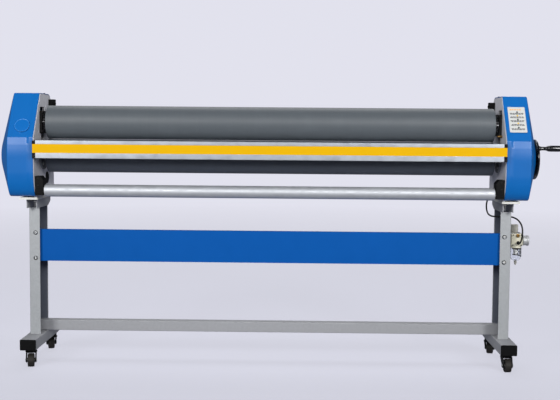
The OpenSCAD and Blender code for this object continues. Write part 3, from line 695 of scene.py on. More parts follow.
def make_cover(name, side, shaft_r=0.0):
    """A moulded shell: its outside is a loft, thickened inwards and cut for the foot blocks."""
    rim_view = arcs(cover_corners(False), steps=10)
    side_view = arcs(cover_corners(True), steps=10)
    mesh = bmesh.new()
    profile = cover_rings(rim_view, side_view, shaft_r or DOME_R / 4, side)
    rings = [[mesh.verts.new(at) for at in ring] for ring in profile]
    count = len(side_view)
    for inner, outer in zip(rings, rings[1:]):
        for k in range(count):
            n = (k + 1) % count
            mesh.faces.new((inner[k], inner[n], outer[n], outer[k]))
    if not shaft_r:
        mesh.faces.new(rings[-1])
    bmesh.ops.remove_doubles(mesh, verts=mesh.verts, dist=1e-3)
    if side < 0:
        bmesh.ops.scale(mesh, vec=(-1, 1, 1), verts=mesh.verts)
    bmesh.ops.scale(mesh, vec=(MM, MM, MM), verts=mesh.verts)
    bmesh.ops.recalc_face_normals(mesh, faces=mesh.faces)
    far = max(mesh.faces, key=lambda f: f.calc_center_median().x * side)
    if far.normal.x * side < 0:
        bmesh.ops.reverse_faces(mesh, faces=mesh.faces)
    node = name + "_end_cover"
    cover = finished(node + "_shell", mesh, [COVER_BLUE], "root", [node], 32)
    even = cover.modifiers[0]
    wall = cover.modifiers.new("wall", "SOLIDIFY")
    wall.thickness = COVER_WALL * MM
    wall.offset = -1
    cover.modifiers.move(cover.modifiers.find(wall.name), 0)
    cutter = Piece(name + "_cutter", COVER_BLUE)
    x = sorted((side * (COVER_RIM - 6), side * FOOT_OPENING_END))
    cutter.block(x, FOOT_OPENING, (COVER_FOOT - 4, COVER_FOOT + 8), 0)
    tool = cutter.done("root", "cover_blue")
    cut = cover.modifiers.new("foot_opening", "BOOLEAN")
    cut.object = tool
    cut.solver = "EXACT"
    cover.modifiers.move(cover.modifiers.find(cut.name), 1)
    settle(cover, keep=even.name)
    bpy.data.objects.remove(tool)
    return cover


def settle(piece, keep):
    """Applies a piece's modifiers, apart from the one named keep."""
    last = piece.modifiers[keep]
    last.show_viewport = False
    bpy.context.view_layer.update()
    view = piece.evaluated_get(bpy.context.evaluated_depsgraph_get())
    mesh = bpy.data.meshes.new_from_object(view)
    for modifier in list(piece.modifiers):
        if modifier.name != keep:
            piece.modifiers.remove(modifier)
    piece.data = mesh
    last.show_viewport = True


def on_slope(x, z):
    """A frame on the covers' sloped front: local X across, local Y up the slope, Z outwards."""
    run = Vector((0, SLOPE_TOP[0] - SLOPE_FOOT[0], SLOPE_TOP[1] - SLOPE_FOOT[1])).normalized()
    y = SLOPE_TOP[0] - (SLOPE_TOP[1] - z) * run.y / run.z
    out = Vector((1, 0, 0)).cross(run)
    basis = Matrix((Vector((1, 0, 0)), run, out)).transposed().to_4x4()
    return Matrix.Translation((x, y, z)) @ basis


def make_badge():
    x0, x1 = span("cover_badge")[0]
    z0, z1 = span("cover_badge")[2]
    badge = Piece("cover_badge_disc", BADGE_BLUE)
    badge.placed(on_slope((x0 + x1) / 2, (z0 + z1) / 2))
    badge.turned([(0, -2), (26, -2), (26, 0.9), (25.4, 1.3), (0, 1.5)], steps=72)
    badge.painted(BADGE_RIM).turned(
        [(25.6, -2), (27.5, -2), (27.5, 1.1), (27.0, 1.7), (26.2, 1.7), (25.6, 1.2)], steps=72
    )
    badge.done("root", "badge_blue", "cover_badge")


LABEL_W, LABEL_L = 63.0, 110.0
LABEL_ROWS = [25.5, 10.0, -6.5, -23.0, -41.5]
LABEL_DASHES = [9.0, 5.5, 12.0, 7.0, 10.0, 6.0]


def printed_row(label, level, height, dashes, gap=1.6):
    """A broken line of small bars, centred on the label."""
    at = -(sum(dashes) + gap * (len(dashes) - 1)) / 2
    for dash in dashes:
        bar = rounded(rectangle((at, at + dash), (level, level + height)), 0.5, 3)
        label.drawn(bar, 0.3, 0.62, "z")
        at += dash + gap


def make_label():
    """A plain instruction plate: a coloured header, rows of bars and small dots, no lettering."""
    x0, x1 = span("cover_label")[0]
    z0, z1 = span("cover_label")[2]
    label = Piece("cover_label_plate", LABEL_WHITE).placed(on_slope((x0 + x1) / 2, (z0 + z1) / 2))
    half_w, half_l = LABEL_W / 2, LABEL_L / 2
    label.drawn(rounded(rectangle((-half_w, half_w), (-half_l, half_l)), 3), -1, 0.5, "z", 0.15)
    label.painted(LABEL_ORANGE)
    label.turned(ring(0, 3.4, 0.3, 0.62), (-21.5, 43.5, 0), steps=24)
    printed_row(label, 41.5, 4.2, [7.0, 9.0, 6.0, 8.0])
    for i, level in enumerate(LABEL_ROWS):
        label.painted(LABEL_GREY)
        dashes = LABEL_DASHES[i:] + LABEL_DASHES[:i]
        printed_row(label, level + 1.0, 2.6, dashes[:-1])
        printed_row(label, level - 3.0, 2.6, dashes[1:])
        label.painted(LABEL_YELLOW if i % 2 else LABEL_GREY)
        dot = ring(0, 3.3, 0.3, 0.7)
        label.turned(dot, (2.0, level + 7.6, 0), steps=20)
    label.done("root", "label_white", "cover_label")


# Side frames, bearings and lift

def make_lower_bearings():
    """Flanged bearing units with four bolts and a grease nipple each."""
    unit = Piece("lower_bearing_units", CAST_GREY)
    face = PLATE_X - 8
    centre = plane_at("x", LOWER)
    unit.turned(
        [
            (19.4, face - 3), (23, face - 3), (26, face - 1), (28, face), (50.5, face), (53, face + 2),
            (53, PLATE_X), (20, PLATE_X), (20, PLATE_X + 12), (19.4, PLATE_X + 12),
        ],
        centre, "x", 72,
    )
    inner = [
        (15.1, face - 4), (18, face - 4), (18.4, face - 3.4), (19.3, face - 3.4),
        (19.3, PLATE_X + 12), (15.1, PLATE_X + 12),
    ]
    unit.painted(STEEL).turned(inner, centre, "x", 60)
    for k in range(4):
        angle = radians(45 + 90 * k)
        at = (face, LOWER.y + 40 * cos(angle), LOWER.z + 40 * sin(angle))
        socket_head(unit.painted(ZINC), at, "x", 6.2, 4.2, -1)
    unit.painted(BRASS)
    nipple = [(0, 22), (2.6, 22, 6), (2.6, 25, 6), (1.7, 25.4), (1.7, 27), (1.1, 28), (0, 28.2)]
    unit.turned(nipple, (face + 2.5, LOWER.y, LOWER.z), "z", 18)
    unit.mirrored().done("root", "cast_grey", "lower_bearings")


def make_upper_bearings():
    """Ball bearings in the sliding blocks: races and seals."""
    x0, x1 = PLATE_X - 7, PLATE_X + 34
    bearing = Piece("upper_bearing_races", STEEL)
    centre = plane_at("x", UPPER)
    bearing.turned(ring(21, 25.9, x0, x1), centre, "x", 60, 0.5)
    bearing.turned(ring(12.1, 16, x0, x1), centre, "x", 60, 0.5)
    bearing.painted(BLACK_PLASTIC)
    bearing.turned(ring(16, 21, x0 + 0.8, x1 - 0.8), centre, "x", 60)
    bearing.mirrored().done("upper_carriage", "steel", "upper_bearings")


def make_block_screws():
    """Cap screws on the sliding blocks' inner flanges."""
    y0, y1 = span("bearing_blocks")[1]
    z0, z1 = span("bearing_blocks")[2]
    screws = Piece("bearing_block_screws", BLACK_STEEL)
    for y in (y0 + 8, y1 - 8):
        for z in (z0 + 8, z1 - 8):
            socket_head(screws, (span("bearing_blocks")[0][1] - 45, y, z), "x", 4.4, 3.2, -1)
    screws.mirrored().done("upper_carriage", "black_steel")


# Rollers, wheel and grip

def make_sleeve(node, paint, slot, body, axis_at):
    x0, x1 = span(node)[0]
    outer = (span(node)[2][1] - span(node)[2][0]) / 2
    inner = outer - 7
    sleeve = Piece(node + "_rubber", paint)
    sleeve.turned(
        [
            (inner, x0), (outer - 1.6, x0), (outer - 0.5, x0 + 0.5), (outer, x0 + 1.8),
            (outer, x1 - 1.8), (outer - 0.5, x1 - 0.5), (outer - 1.6, x1), (inner, x1),
        ],
        plane_at("x", axis_at), "x", 128,
    )
    return sleeve.done(body, slot, node)


def make_core(node, body, axis_at, journal, right_end, long_end=None):
    """The roller's steel core: recessed end discs with screws, shoulders and journals."""
    face = span("lower_roller_sleeve")[0][1]
    core = Piece(node + "_steel", STEEL)
    nose = [(0, right_end), (journal - 1, right_end), (journal, right_end - 1)]
    half = nose
    if long_end:
        half = [(0, long_end), (11, long_end), (12, long_end - 1), (12, right_end)] + nose[1:]
    disc = [
        (journal, face + 3), (21, face + 2.6), (22, face + 1.6), (22, face - 1.5), (48, face - 1.5),
        (49, face - 0.3), (55.3, face - 0.3),
    ]
    profile = half + disc + [(r, -x) for r, x in reversed(nose + disc)]
    centre = plane_at("x", axis_at)
    core.turned(profile, centre, "x", 96)
    for side in (1, -1):
        for k in range(6):
            angle = radians(60 * k + 15)
            at = (side * (face - 1.5), axis_at.y + 38 * cos(angle), axis_at.z + 38 * sin(angle))
            socket_head(core.painted(ZINC), at, "x", 4.6, 3.4, side)
    return core.done(body, "steel", node)


def make_handwheel():
    """A turned glossy wheel with a round rim, a thin web and a set screw in its hub."""
    x0, x1 = span("handwheel")[0]
    rim = (span("handwheel")[2][1] - span("handwheel")[2][0]) / 2
    front, back = x1 - 4, x0 + 2
    profile = [(12.1, x0), (20.6, x0), (22, x0 + 1.4), (24, back + 3.2), (rim - 15, back + 3.6)]
    middle = (front + back) / 2
    for k in range(13):
        angle = radians(200 - 220 * k / 12)
        profile.append((rim - 7.2 + 7.2 * sin(angle + pi / 2), middle - 5 * cos(angle + pi / 2)))
    profile += [(rim - 15, front - 3.6), (24, front - 3.2), (22, x1 - 1.4), (20.6, x1), (12.1, x1)]
    wheel = Piece("handwheel_moulding", BLACK_GLOSS)
    wheel.turned(profile, plane_at("x", LOWER), "x", 120)
    grip = pivot("grip_spin")
    wheel.turned(
        [
            (4.1, back), (9.5, back + 0.8), (10, back + 2), (10, front - 0.8), (9.4, front + 0.2),
            (4.1, front + 0.3),
        ],
        plane_at("x", grip), "x", 40,
    )
    wheel.painted(ZINC)
    socket_head(wheel, (x0 + 6, LOWER.y, LOWER.z + 20), "z", 3, 3.4)
    wheel.done("lower_roller", "black_gloss", "handwheel")


def make_grip():
    x0, x1 = span("handwheel_grip")[0]
    grip = Piece("handwheel_grip_moulding", BLACK_GLOSS)
    marks = [
        (0, 4.1), (0, 8.2), (0.8, 9), (2.4, 9), (4, 8), (7, 7), (15, 6.8), (23, 7), (27, 8), (30, 9.6),
        (35, 10.9), (42, 11.3), (70, 11.3), (78, 10.8), (84, 9.8), (88, 8.6), (90.2, 7.2), (91, 5.6),
        (91, 4.1),
    ]
    reach = (x1 - x0) / marks[-1][0]
    grip.turned([(r, x0 + d * reach) for d, r in marks], plane_at("x", pivot("grip_spin")), "x", 64)
    grip.done("grip", "black_gloss", "handwheel_grip")
    pin = Piece("grip_pin_screw", STEEL)
    p0, p1 = span("grip_pin")[0]
    pin.turned(ring(0, 3.9, p0, p1 - 3), plane_at("x", pivot("grip_spin")), "x", 32)
    socket_head(pin, (p1 - 3, *pivot("grip_spin")[1:]), "x", 6.8, 3)
    pin.done("lower_roller", "steel", "grip_pin")


def make_tube(node, joint):
    """An aluminium tube with pressed-in end plugs on steel spindles."""
    x1 = span(node)[0][1]
    outer = (span(node)[2][1] - span(node)[2][0]) / 2
    face = x1 - 16
    centre = plane_at("x", pivot(joint))
    tube = Piece(node + "_extrusion", ALUMINIUM)
    bore = outer - 2.5
    ends = [(bore, face), (outer - 0.5, face), (outer, face - 0.6)]
    tube.turned(both_ways(ends), centre, "x", 96)
    tube.painted(BLACK_PLASTIC)
    plug = [
        (8, face - 10), (bore - 0.1, face - 10), (bore - 0.1, face - 0.8), (bore - 1, face - 0.2),
        (8, face - 0.2),
    ]
    tube.turned(plug, centre, "x", 60)
    tube.turned([(r, -x) for r, x in plug], centre, "x", 60)
    tube.painted(STEEL)
    for side in (1, -1):
        spindle = [(0, face - 10), (8, face - 10), (8, x1 - 0.8), (7.2, x1), (0, x1)]
        tube.turned([(r, side * x) for r, x in spindle], centre, "x", 40)
    tube.done(node, "aluminium", node)


# Feed table and holders

def make_tube_holders():
    """Black moulded holders: a smooth chamfered head over a ribbed body."""
    x0 = PLATE_X - 31
    y0, y1 = span("tube_holders")[1]
    z0, z1 = span("tube_holders")[2]
    holder = Piece("tube_holder_mouldings", BLACK_PLASTIC)
    split = z0 + 31
    head = [(x0, split), (PLATE_X, split), (PLATE_X, z1), (x0 + 11, z1), (x0, z1 - 14)]
    holder.drawn(rounded(head, 1.2, 3), y0, y1, "y", 0.8)
    holder.drawn(
        rounded(rectangle((x0 + 1, PLATE_X), (z0, split)), 0.8, 2), y0 + 1.4, y1 - 1.4, "y", 0.6,
    )
    rib_count, rib_h = 5, 3.4
    pitch = (split - z0) / rib_count
    for k in range(rib_count):
        z = z0 + pitch * (k + 0.5)
        holder.block((x0 + 0.2, PLATE_X - 0.5), (y0, y1), (z - rib_h / 2, z + rib_h / 2), 0.7)
    centre = plane_at("x", pivot("supply_tube_spin"))
    collar = [(8.2, x0 - 1.6), (12, x0 - 1.6), (12.6, x0 - 1), (12.6, x0 + 1), (8.2, x0 + 1)]
    holder.turned(collar, centre, "x", 40)
    holder.painted(BLACK_STEEL)
    for z in (z1 - 9, split + 5):
        socket_head(holder, (PLATE_X - 12, y0, z), "y", 3.4, 1.6, -1)
    holder.mirrored().done("root", "black_plastic", "tube_holders")


def make_film_holders():
    """Square holders with a split clamp above the film tube's spindle."""
    x0 = PLATE_X - 20
    y0, y1 = span("film_tube_holders")[1]
    z0, z1 = span("film_tube_holders")[2]
    holder = Piece("film_tube_holder_mouldings", BLACK_PLASTIC)
    side_view = [
        (y0, z0, 5), (y1, z0, 5), (y1, z1, 3), ((y0 + y1) / 2 + 7, z1, 1),
        ((y0 + y1) / 2 + 7, z1 - 14, 2), ((y0 + y1) / 2 + 4, z1 - 14, 2), ((y0 + y1) / 2 + 4, z1, 1),
        (y0, z1, 3),
    ]
    holder.drawn(rounded(side_view, steps=4), x0, PLATE_X, "x", 0.8)
    centre = plane_at("x", pivot("film_tube_spin"))
    collar = [(8.2, x0 - 1.4), (11, x0 - 1.4), (11.6, x0 - 0.8), (11.6, x0 + 1), (8.2, x0 + 1)]
    holder.turned(collar, centre, "x", 40)
    holder.mirrored().done("root", "black_plastic", "film_tube_holders")


def make_small_screws():
    """Cover rim screws, the table's corner screws and the film tube's knurled lock screws."""
    screws = Piece("small_screw_heads", BLACK_STEEL)
    rim_x = (PLATE_X + PLATE_OUT) / 2
    socket_head(screws, (rim_x, 20, COVER_TOP), "z", 4, 2)
    socket_head(screws, (rim_x, COVER_REAR, 667), "y", 4, 2)
    table_y = span("feed_table")[1][0]
    for z in (span("feed_table")[2][0] + 6, span("feed_table")[2][1] - 6):
        socket_head(screws, (PLATE_X - 6, table_y, z), "y", 3.4, 1.5, -1)
    lock_x = PLATE_X - 20
    centre = (0, pivot("film_tube_spin").y - 8, pivot("film_tube_spin").z + 34)
    knob = [
        (0, lock_x - 6), (4.2, lock_x - 6), (5, lock_x - 5.4, -0.5), (5, lock_x - 1, -0.5),
        (4.2, lock_x - 0.4), (3, lock_x - 0.2), (3, lock_x + 1), (0, lock_x + 1),
    ]
    screws.turned(knob, centre, "x", 40)
    screws.mirrored().done("root", "black_steel", "small_screws")


# Stand

def tube_section(name, node, outer, wall, radius, low, high, axis, mirror=False):
    """A square tube with rounded corners, outside and inside."""
    (a0, a1), (b0, b1) = outer
    skin = rounded(rectangle((a0, a1), (b0, b1)), radius, 5)
    inner = rounded(
        rectangle((a0 + wall, a1 - wall), (b0 + wall, b1 - wall)), max(radius - wall * 0.6, 0.8), 5
    )
    points = [
        put(axis, a, b, level)
        for ring in (skin, inner)
        for level in (low, high)
        for a, b in ring
    ]
    n = len(skin)
    faces = []
    for i in range(n):
        j = (i + 1) % n
        faces.append((i, j, n + j, n + i))
        faces.append((2 * n + i, 3 * n + i, 3 * n + j, 2 * n + j))
        faces.append((i, 2 * n + i, 2 * n + j, j))
        faces.append((n + i, n + j, 3 * n + j, 3 * n + i))
    tube = Piece(name, FRAME_GREY).add(points, faces, 0.35, 1)
    if mirror:
        tube.mirrored()
    tube.done("root", "frame_grey", node)


def make_stand():
    """Folded channel posts lined inside with painted shade, with foot tubes, stretcher and tie beam as
    rolled tubes.
    """
    outline = [
        (POST_IN, POST_FRONT), (POST_OUT, POST_FRONT, 4), (POST_OUT, POST_BACK, 4),
        (POST_IN, POST_BACK), (POST_IN, POST_BACK - POST_WALL),
        (POST_OUT - POST_WALL, POST_BACK - POST_WALL, 1.6),
        (POST_OUT - POST_WALL, POST_FRONT + POST_WALL, 1.6), (POST_IN, POST_FRONT + POST_WALL),
    ]
    # A thin darker skin inside each channel carries painted shade for the cavity.
    inset = POST_WALL + 0.4
    shade_lining = [
        (POST_IN + 2, POST_BACK - inset), (POST_IN + 2, POST_BACK - POST_WALL),
        (POST_OUT - POST_WALL, POST_BACK - POST_WALL, 1.6),
        (POST_OUT - POST_WALL, POST_FRONT + POST_WALL, 1.6),
        (POST_IN + 2, POST_FRONT + POST_WALL), (POST_IN + 2, POST_FRONT + inset),
        (POST_OUT - inset, POST_FRONT + inset, 1.6), (POST_OUT - inset, POST_BACK - inset, 1.6),
    ]
    for side, name in ((1, "right"), (-1, "left")):
        post = Piece(name + "_post_channel", POST_GREY)
        bend = [(side * x, y) for x, y in rounded(outline, steps=5)]
        post.drawn(bend, POST_LOW, POST_TOP, "z", 0.5)
        # The inner skin's darker grey is painted shade, not the posts' own colour.
        coat = [(side * x, y) for x, y in rounded(shade_lining, steps=4)]
        post.painted(POST_INSIDE_SHADE).drawn(coat, POST_LOW + 1, POST_TOP - 1, "z")
        post.done("root", "post_grey", name + "_post")
    foot_x = (span("foot_tubes")[0][1] - 60, span("foot_tubes")[0][1])
    tube_section("foot_tube_sections", "foot_tubes", (foot_x, span("foot_tubes")[2]),
                 3, 3.2, *span("foot_tubes")[1], "y", True)
    bar = span("stretcher_bar")
    tube_section("stretcher_bar_tube", "stretcher_bar", (bar[1], bar[2]), 2, 2.6, *bar[0], "x")
    beam = span("rear_tie_beam")
    tube_section("rear_tie_beam_tube", "rear_tie_beam", (beam[1], beam[2]), 3, 3.4,
                 *beam[0], "x")


def make_end_caps():
    """Push-in caps with a shallow pillow and a soft rim."""
    caps = Piece("foot_end_cap_mouldings", BLACK_PLASTIC)
    x0, x1 = span("foot_end_caps")[0][1] - 60, span("foot_end_caps")[0][1]
    z0, z1 = span("foot_end_caps")[2]
    y0, y1 = span("foot_end_caps")[1]
    for face, inward in ((y0, 1), (y1, -1)):
        rim = rounded(rectangle((x0, x1), (z0, z1)), 3.4, 5)
        field = rounded(rectangle((x0 + 5, x1 - 5), (z0 + 5, z1 - 5)), 2, 4)
        plug = rounded(rectangle((x0 + 3.3, x1 - 3.3), (z0 + 3.3, z1 - 3.3)), 1.6, 4)
        caps.drawn(rim, *sorted((face + inward * 0.6, face + inward * 4)), "y", 0.9)
        caps.drawn(field, *sorted((face, face + inward * 2)), "y", 0.5)
        caps.drawn(plug, *sorted((face + inward * 4, face + inward * 18)), "y", 0.5)
    caps.mirrored().done("root", "black_plastic", "foot_end_caps")


def make_panel_bolts():
    """Button heads on washers that hold the panel's spacers against the posts."""
    bolts = Piece("panel_bolt_set", ZINC)
    x = span("panel_bolts")[0][1] - 8
    z0, z1 = span("panel_bolts")[2]
    face = POST_FRONT
    for z in (z0 + 8, z1 - 8):
        centre = (x, 0, z)
        washer = [(4.1, face), (8, face), (8, face - 1), (7.6, face - 1.4), (4.1, face - 1.4)]
        bolts.painted(BLACK_STEEL).turned(washer, centre, "y", 40)
        socket_head(bolts.painted(ZINC), (x, face - 1.4, z), "y", 6.5, 4.1, -1)
        ridges = [(r, face + 20 - d) for r, d in thread(3.9, 0.2, 19)]
        bolts.turned([(0, face + 20), *ridges, (0, face)], centre, "y", 24)
    bolts.mirrored().done("root", "zinc", "panel_bolts")


def make_head_bolts():
    """Threaded studs with washers and nuts, seen through the channels' open ends."""
    bolts = Piece("head_bolt_set", ZINC)
    x = POST_IN + 11
    z0, z1 = span("head_bolts")[2]
    web = POST_TOP + 31
    for y in (span("head_bolts")[1][0] + 7.7, span("head_bolts")[1][1] - 7.7):
        centre = (x, y, 0)
        bolts.turned([(0, z0), *thread(4, z0 + 0.4, z1), (0, z1)], centre, "z", 32)
        bolts.turned(
            [(4, web - 1.6), (7.7, web - 1.6), (7.7, web - 0.2), (7.4, web), (4, web)], centre, "z", 40,
        )
        nut = [
            (3.8, web - 8.4), (6.0, web - 8.4), (6.5, web - 7.8, 6), (6.5, web - 2.2, 6),
            (6.0, web - 1.6), (3.8, web - 1.6),
        ]
        bolts.turned(nut, centre, "z", 48)
    bolts.mirrored().done("root", "zinc", "head_bolts")


def make_grommets():
    rings = Piece("hose_grommets", BLACK_PLASTIC)
    hose = (0, *HOSE_THROUGH)
    for face, out in ((POST_OUT, 1), (POST_OUT - POST_WALL, -1)):
        lip = [
            (3.3, face), (8, face), (8, face + out * 0.9), (7.2, face + out * 1.8),
            (5.4, face + out * 2), (3.3, face + out * 1.2),
        ]
        rings.turned(lip, hose, "x", 40)
    y0, y1 = span("grommets")[1][1] - 45, span("grommets")[1][1]
    z1 = span("grommets")[2][1]
    blind = [(0, -PLATE_X + 1.6), (14, -PLATE_X + 1.6), (16, -PLATE_X + 2.6), (20, -PLATE_X + 3),
             (22, -PLATE_X + 2), (22.5, -PLATE_X), (0, -PLATE_X)]
    rings.turned(blind, (0, (y0 + y1) / 2, z1 - 22.5), "x", 64)
    rings.done("root", "black_plastic", "grommets")


# Air supply

INLET_Z, OUTLET_Z, PORT_Z = 475, 468, 495
PORT_FACE = -20
NOZZLE_AT = (-82, 869)


def make_regulator():
    """Cast body with bowl collar, bonnet neck, inlet boss and rounded edges."""
    (x0, _), (y0, y1), (z0, z1) = span("regulator_body")
    x1 = span("regulator_bracket")[0][1] + 6
    top = span("regulator_bracket")[2][1] - 3
    knob = pivot("regulator_knob_turn")
    bowl = pivot("bowl_drain_turn")
    body = Piece("regulator_casting", CREAM)
    back = y1 - 6
    body.block((x0, x1), (y0, back), (z0 + 8, top), 3.2, 3)
    collar = [(0, z0), (19.4, z0), (20.6, z0 + 0.8), (20.6, z0 + 7), (19.8, z0 + 8.6), (0, z0 + 8.6)]
    body.turned(collar, (bowl.x, bowl.y, 0), "z", 60)
    neck = [(4, top - 1), (9.8, top - 1), (9.8, z1 - 0.4), (9.2, z1), (4, z1)]
    body.turned(neck, (knob.x, knob.y, 0), "z", 40)
    inlet = ((x0 + x1) / 2, 0, INLET_Z)
    body.turned(
        [(6.6, back - 5), (9.4, back - 5), (11, back - 0.5), (11, y1 - 0.8), (10.2, y1), (6.6, y1)],
        inlet, "y", 40,
    )
    body.turned(ring(0, 6.6, back - 6, back - 5), inlet, "y", 40)
    boss = (span("hose_fittings")[0][1] - 6.5, 0, OUTLET_Z)
    body.turned(
        [(6.6, y0 - 1.6), (8.8, y0 - 1.6), (9.4, y0 - 1), (9.4, y0 + 1), (6.6, y0 + 1)], boss, "y", 40,
    )
    seal = ring(9.8, 13.4, top - 0.2, top + 1.2)
    body.painted(BLACK_PLASTIC).turned(seal, (knob.x, knob.y, 0), "z", 40)
    body.painted(BLACK_STEEL)
    for x in (x0 + 5.5, x1 - 5.5):
        for z in (z0 + 12, top - 5):
            socket_head(body, (x, y0, z), "y", 2.6, 1.6, -1)
    body.done("root", "cream", "regulator_body")


def make_knob():
    """Knurled adjusting knob with a plain lock ring below it."""
    z0, z1 = span("regulator_knob")[2]
    centre = plane_at("z", pivot("regulator_knob_turn"))
    knob = Piece("regulator_knob_moulding", SILVER_PLASTIC)
    knob.turned(
        [
            (0, z0), (13.2, z0), (13.8, z0 + 0.8), (13.8, z0 + 4), (13.2, z0 + 4.6), (13.2, z0 + 5.4),
            (14.5, z0 + 6.2, -0.7), (14.5, z1 - 3.4, -0.7), (13.4, z1 - 1.2, -0.4), (11.6, z1 - 0.2),
            (9.6, z1), (9.2, z1 - 1.2), (0, z1 - 1.4),
        ],
        centre, "z", 72,
    )
    knob.done("regulator_knob", "silver_plastic", "regulator_knob")


def make_gauge():
    """Pressure gauge: stem, drawn case, bezel, dial with ticks, a pointer and its centre cap."""
    x0, x1 = span("pressure_gauge")[0]
    (y0, y1), (z0, z1) = span("pressure_gauge")[1:]
    centre = (0, (y0 + y1) / 2, (z0 + z1) / 2)
    gauge = Piece("pressure_gauge_case", GAUGE_METAL)
    gauge.turned(ring(0, 5.6, x0, x0 + 3.4, 6), centre, "x", 36)
    gauge.turned(
        [
            (0, x0 + 3), (17.6, x0 + 3), (18.8, x0 + 4.2), (18.8, x0 + 8), (18.2, x0 + 8.8),
            (18.2, x1 - 8), (19.4, x1 - 7.4), (20, x1 - 6), (20, x1 - 1.4), (19.2, x1), (17.4, x1),
            (17, x1 - 1.8), (0, x1 - 1.8),
        ],
        centre, "x", 72,
    )
    gauge.painted(GAUGE_WHITE).turned(ring(0, 16.9, x1 - 1.9, x1 - 1.6), centre, "x", 48)
    gauge.painted(BLACK_STEEL)
    middle = Matrix.Translation(centre)
    for k in range(11):
        angle = radians(225 - 27 * k)
        long = 3.6 if k % 5 == 0 else 2.2
        gauge.placed(middle @ Matrix.Rotation(angle, 4, "X"))
        gauge.block((x1 - 1.7, x1 - 1.4), (15.6 - long, 15.6), (-0.4, 0.4), 0)
    gauge.placed(middle @ Matrix.Rotation(radians(150), 4, "X"))
    gauge.drawn([(-3, -0.9), (12.5, -0.15), (12.5, 0.15), (-3, 0.9)], x1 - 1.3, x1 - 1.0, "x")
    gauge.placed(Matrix.Identity(4)).turned(
        [(0, x1 - 1.5), (2, x1 - 1.5), (2, x1 - 0.8), (0, x1 - 0.7)], centre, "x", 24,
    )
    gauge.done("root", "gauge", "pressure_gauge")


def make_bowl():
    """Clear bowl over a sintered filter element, with its guard and drain."""
    z0, z1 = span("filter_bowl")[2]
    centre = plane_at("z", pivot("bowl_drain_turn"))
    r = 20.0
    bowl = Piece("filter_bowl_shell", CLEAR)
    bowl.turned(
        [
            (5.6, z0), (9, z0), (14, z0 + 2.2), (17.6, z0 + 6.4), (19.5, z0 + 11), (r, z0 + 16),
            (r, z1), (r - 2, z1), (r - 2, z0 + 16.4), (17.3, z0 + 11.6), (15.6, z0 + 7.8),
            (12.6, z0 + 4.4), (8.6, z0 + 2.4), (5.6, z0 + 2),
        ],
        centre, "z", 72,
    )
    bowl.done("root", "clear_bowl", "filter_bowl")
    core = Piece("filter_element", FILTER_WHITE)
    core.turned(
        [(0, z0 + 24), (8, z0 + 24), (8.6, z0 + 25, -0.5), (8.6, z1 - 6, -0.5), (0, z1 - 6)], centre,
        "z", 48,
    )
    core.painted(BLACK_PLASTIC)
    core.turned(
        [(0, z0 + 21), (11, z0 + 21), (12.4, z0 + 22.4), (12.4, z0 + 23.6), (0, z0 + 24)], centre, "z",
        40,
    )
    core.turned([(0, z1 - 6), (11, z1 - 6), (14, z1 - 3), (14, z1), (0, z1)], centre, "z", 40)
    core.done("root", "cream")
    guard = Piece("bowl_guard_strip", ZINC)

    def sector(inner, outer, start, end):
        steps = max(int(abs(end - start) / 6), 2)
        turns = [radians(start + (end - start) * k / steps) for k in range(steps + 1)]
        ring = [(centre[0] + outer * cos(a), centre[1] + outer * sin(a)) for a in turns]
        return ring + [
            (centre[0] + inner * cos(a), centre[1] + inner * sin(a))
            for a in reversed(turns)
        ]

    low = span("bowl_guard")[2][0]
    reach = 55
    for z in ((low, low + 4), (low + 15, low + 18), (z1 - 6, z1)):
        guard.drawn(sector(20.4, 21.7, -reach, reach), *z, "z", 0.3, 1)
    for middle in (-reach + 5, -25, 0, 25, reach - 5):
        guard.drawn(sector(20.5, 21.6, middle - 5, middle + 5), low + 1, z1 - 1, "z", 0.3, 1)
    guard.done("root", "zinc", "bowl_guard")
    tip = Piece("bowl_drain_tap", SILVER_PLASTIC)
    t0, t1 = span("bowl_drain")[2]
    tip.turned(
        [
            (0, t0 + 2), (1.2, t0 + 1.6), (1.4, t0), (2.6, t0), (3.2, t0 + 4), (5.5, t0 + 8, -0.5),
            (5.5, t1 - 1.4, -0.5), (5, t1), (0, t1),
        ],
        centre, "z", 36,
    )
    tip.done("bowl_drain", "silver_plastic", "bowl_drain")


def make_brass():
    """Hexagon plug in the regulator's port and the blow-off nozzle on the right plate."""
    brass = Piece("brass_fitting_set", BRASS)
    face = PORT_FACE
    plug = (POST_OUT + 35, 0, PORT_Z)
    brass.turned(
        [
            (0, face + 1), (6.5, face + 1, 6), (6.5, face - 3.4, 6), (5.9, face - 4), (4.5, face - 4.2),
            (4.5, face - 8.2), (3.8, face - 9), (2, face - 9), (1.8, face - 7.6), (0, face - 7.4),
        ],
        plug, "y", 36,
    )
    nozzle = (0, *NOZZLE_AT)
    brass.turned(
        [
            (0, PLATE_X - 16), (1.1, PLATE_X - 16.4), (1.3, PLATE_X - 18), (2.4, PLATE_X - 18),
            (3.1, PLATE_X - 13), (4.2, PLATE_X - 11), (4.5, PLATE_X - 9, 6), (4.5, PLATE_X - 3, 6),
            (4.2, PLATE_X), (0, PLATE_X),
        ],
        nozzle, "x", 36,
    )
    brass.done("root", "brass", "brass_fittings")


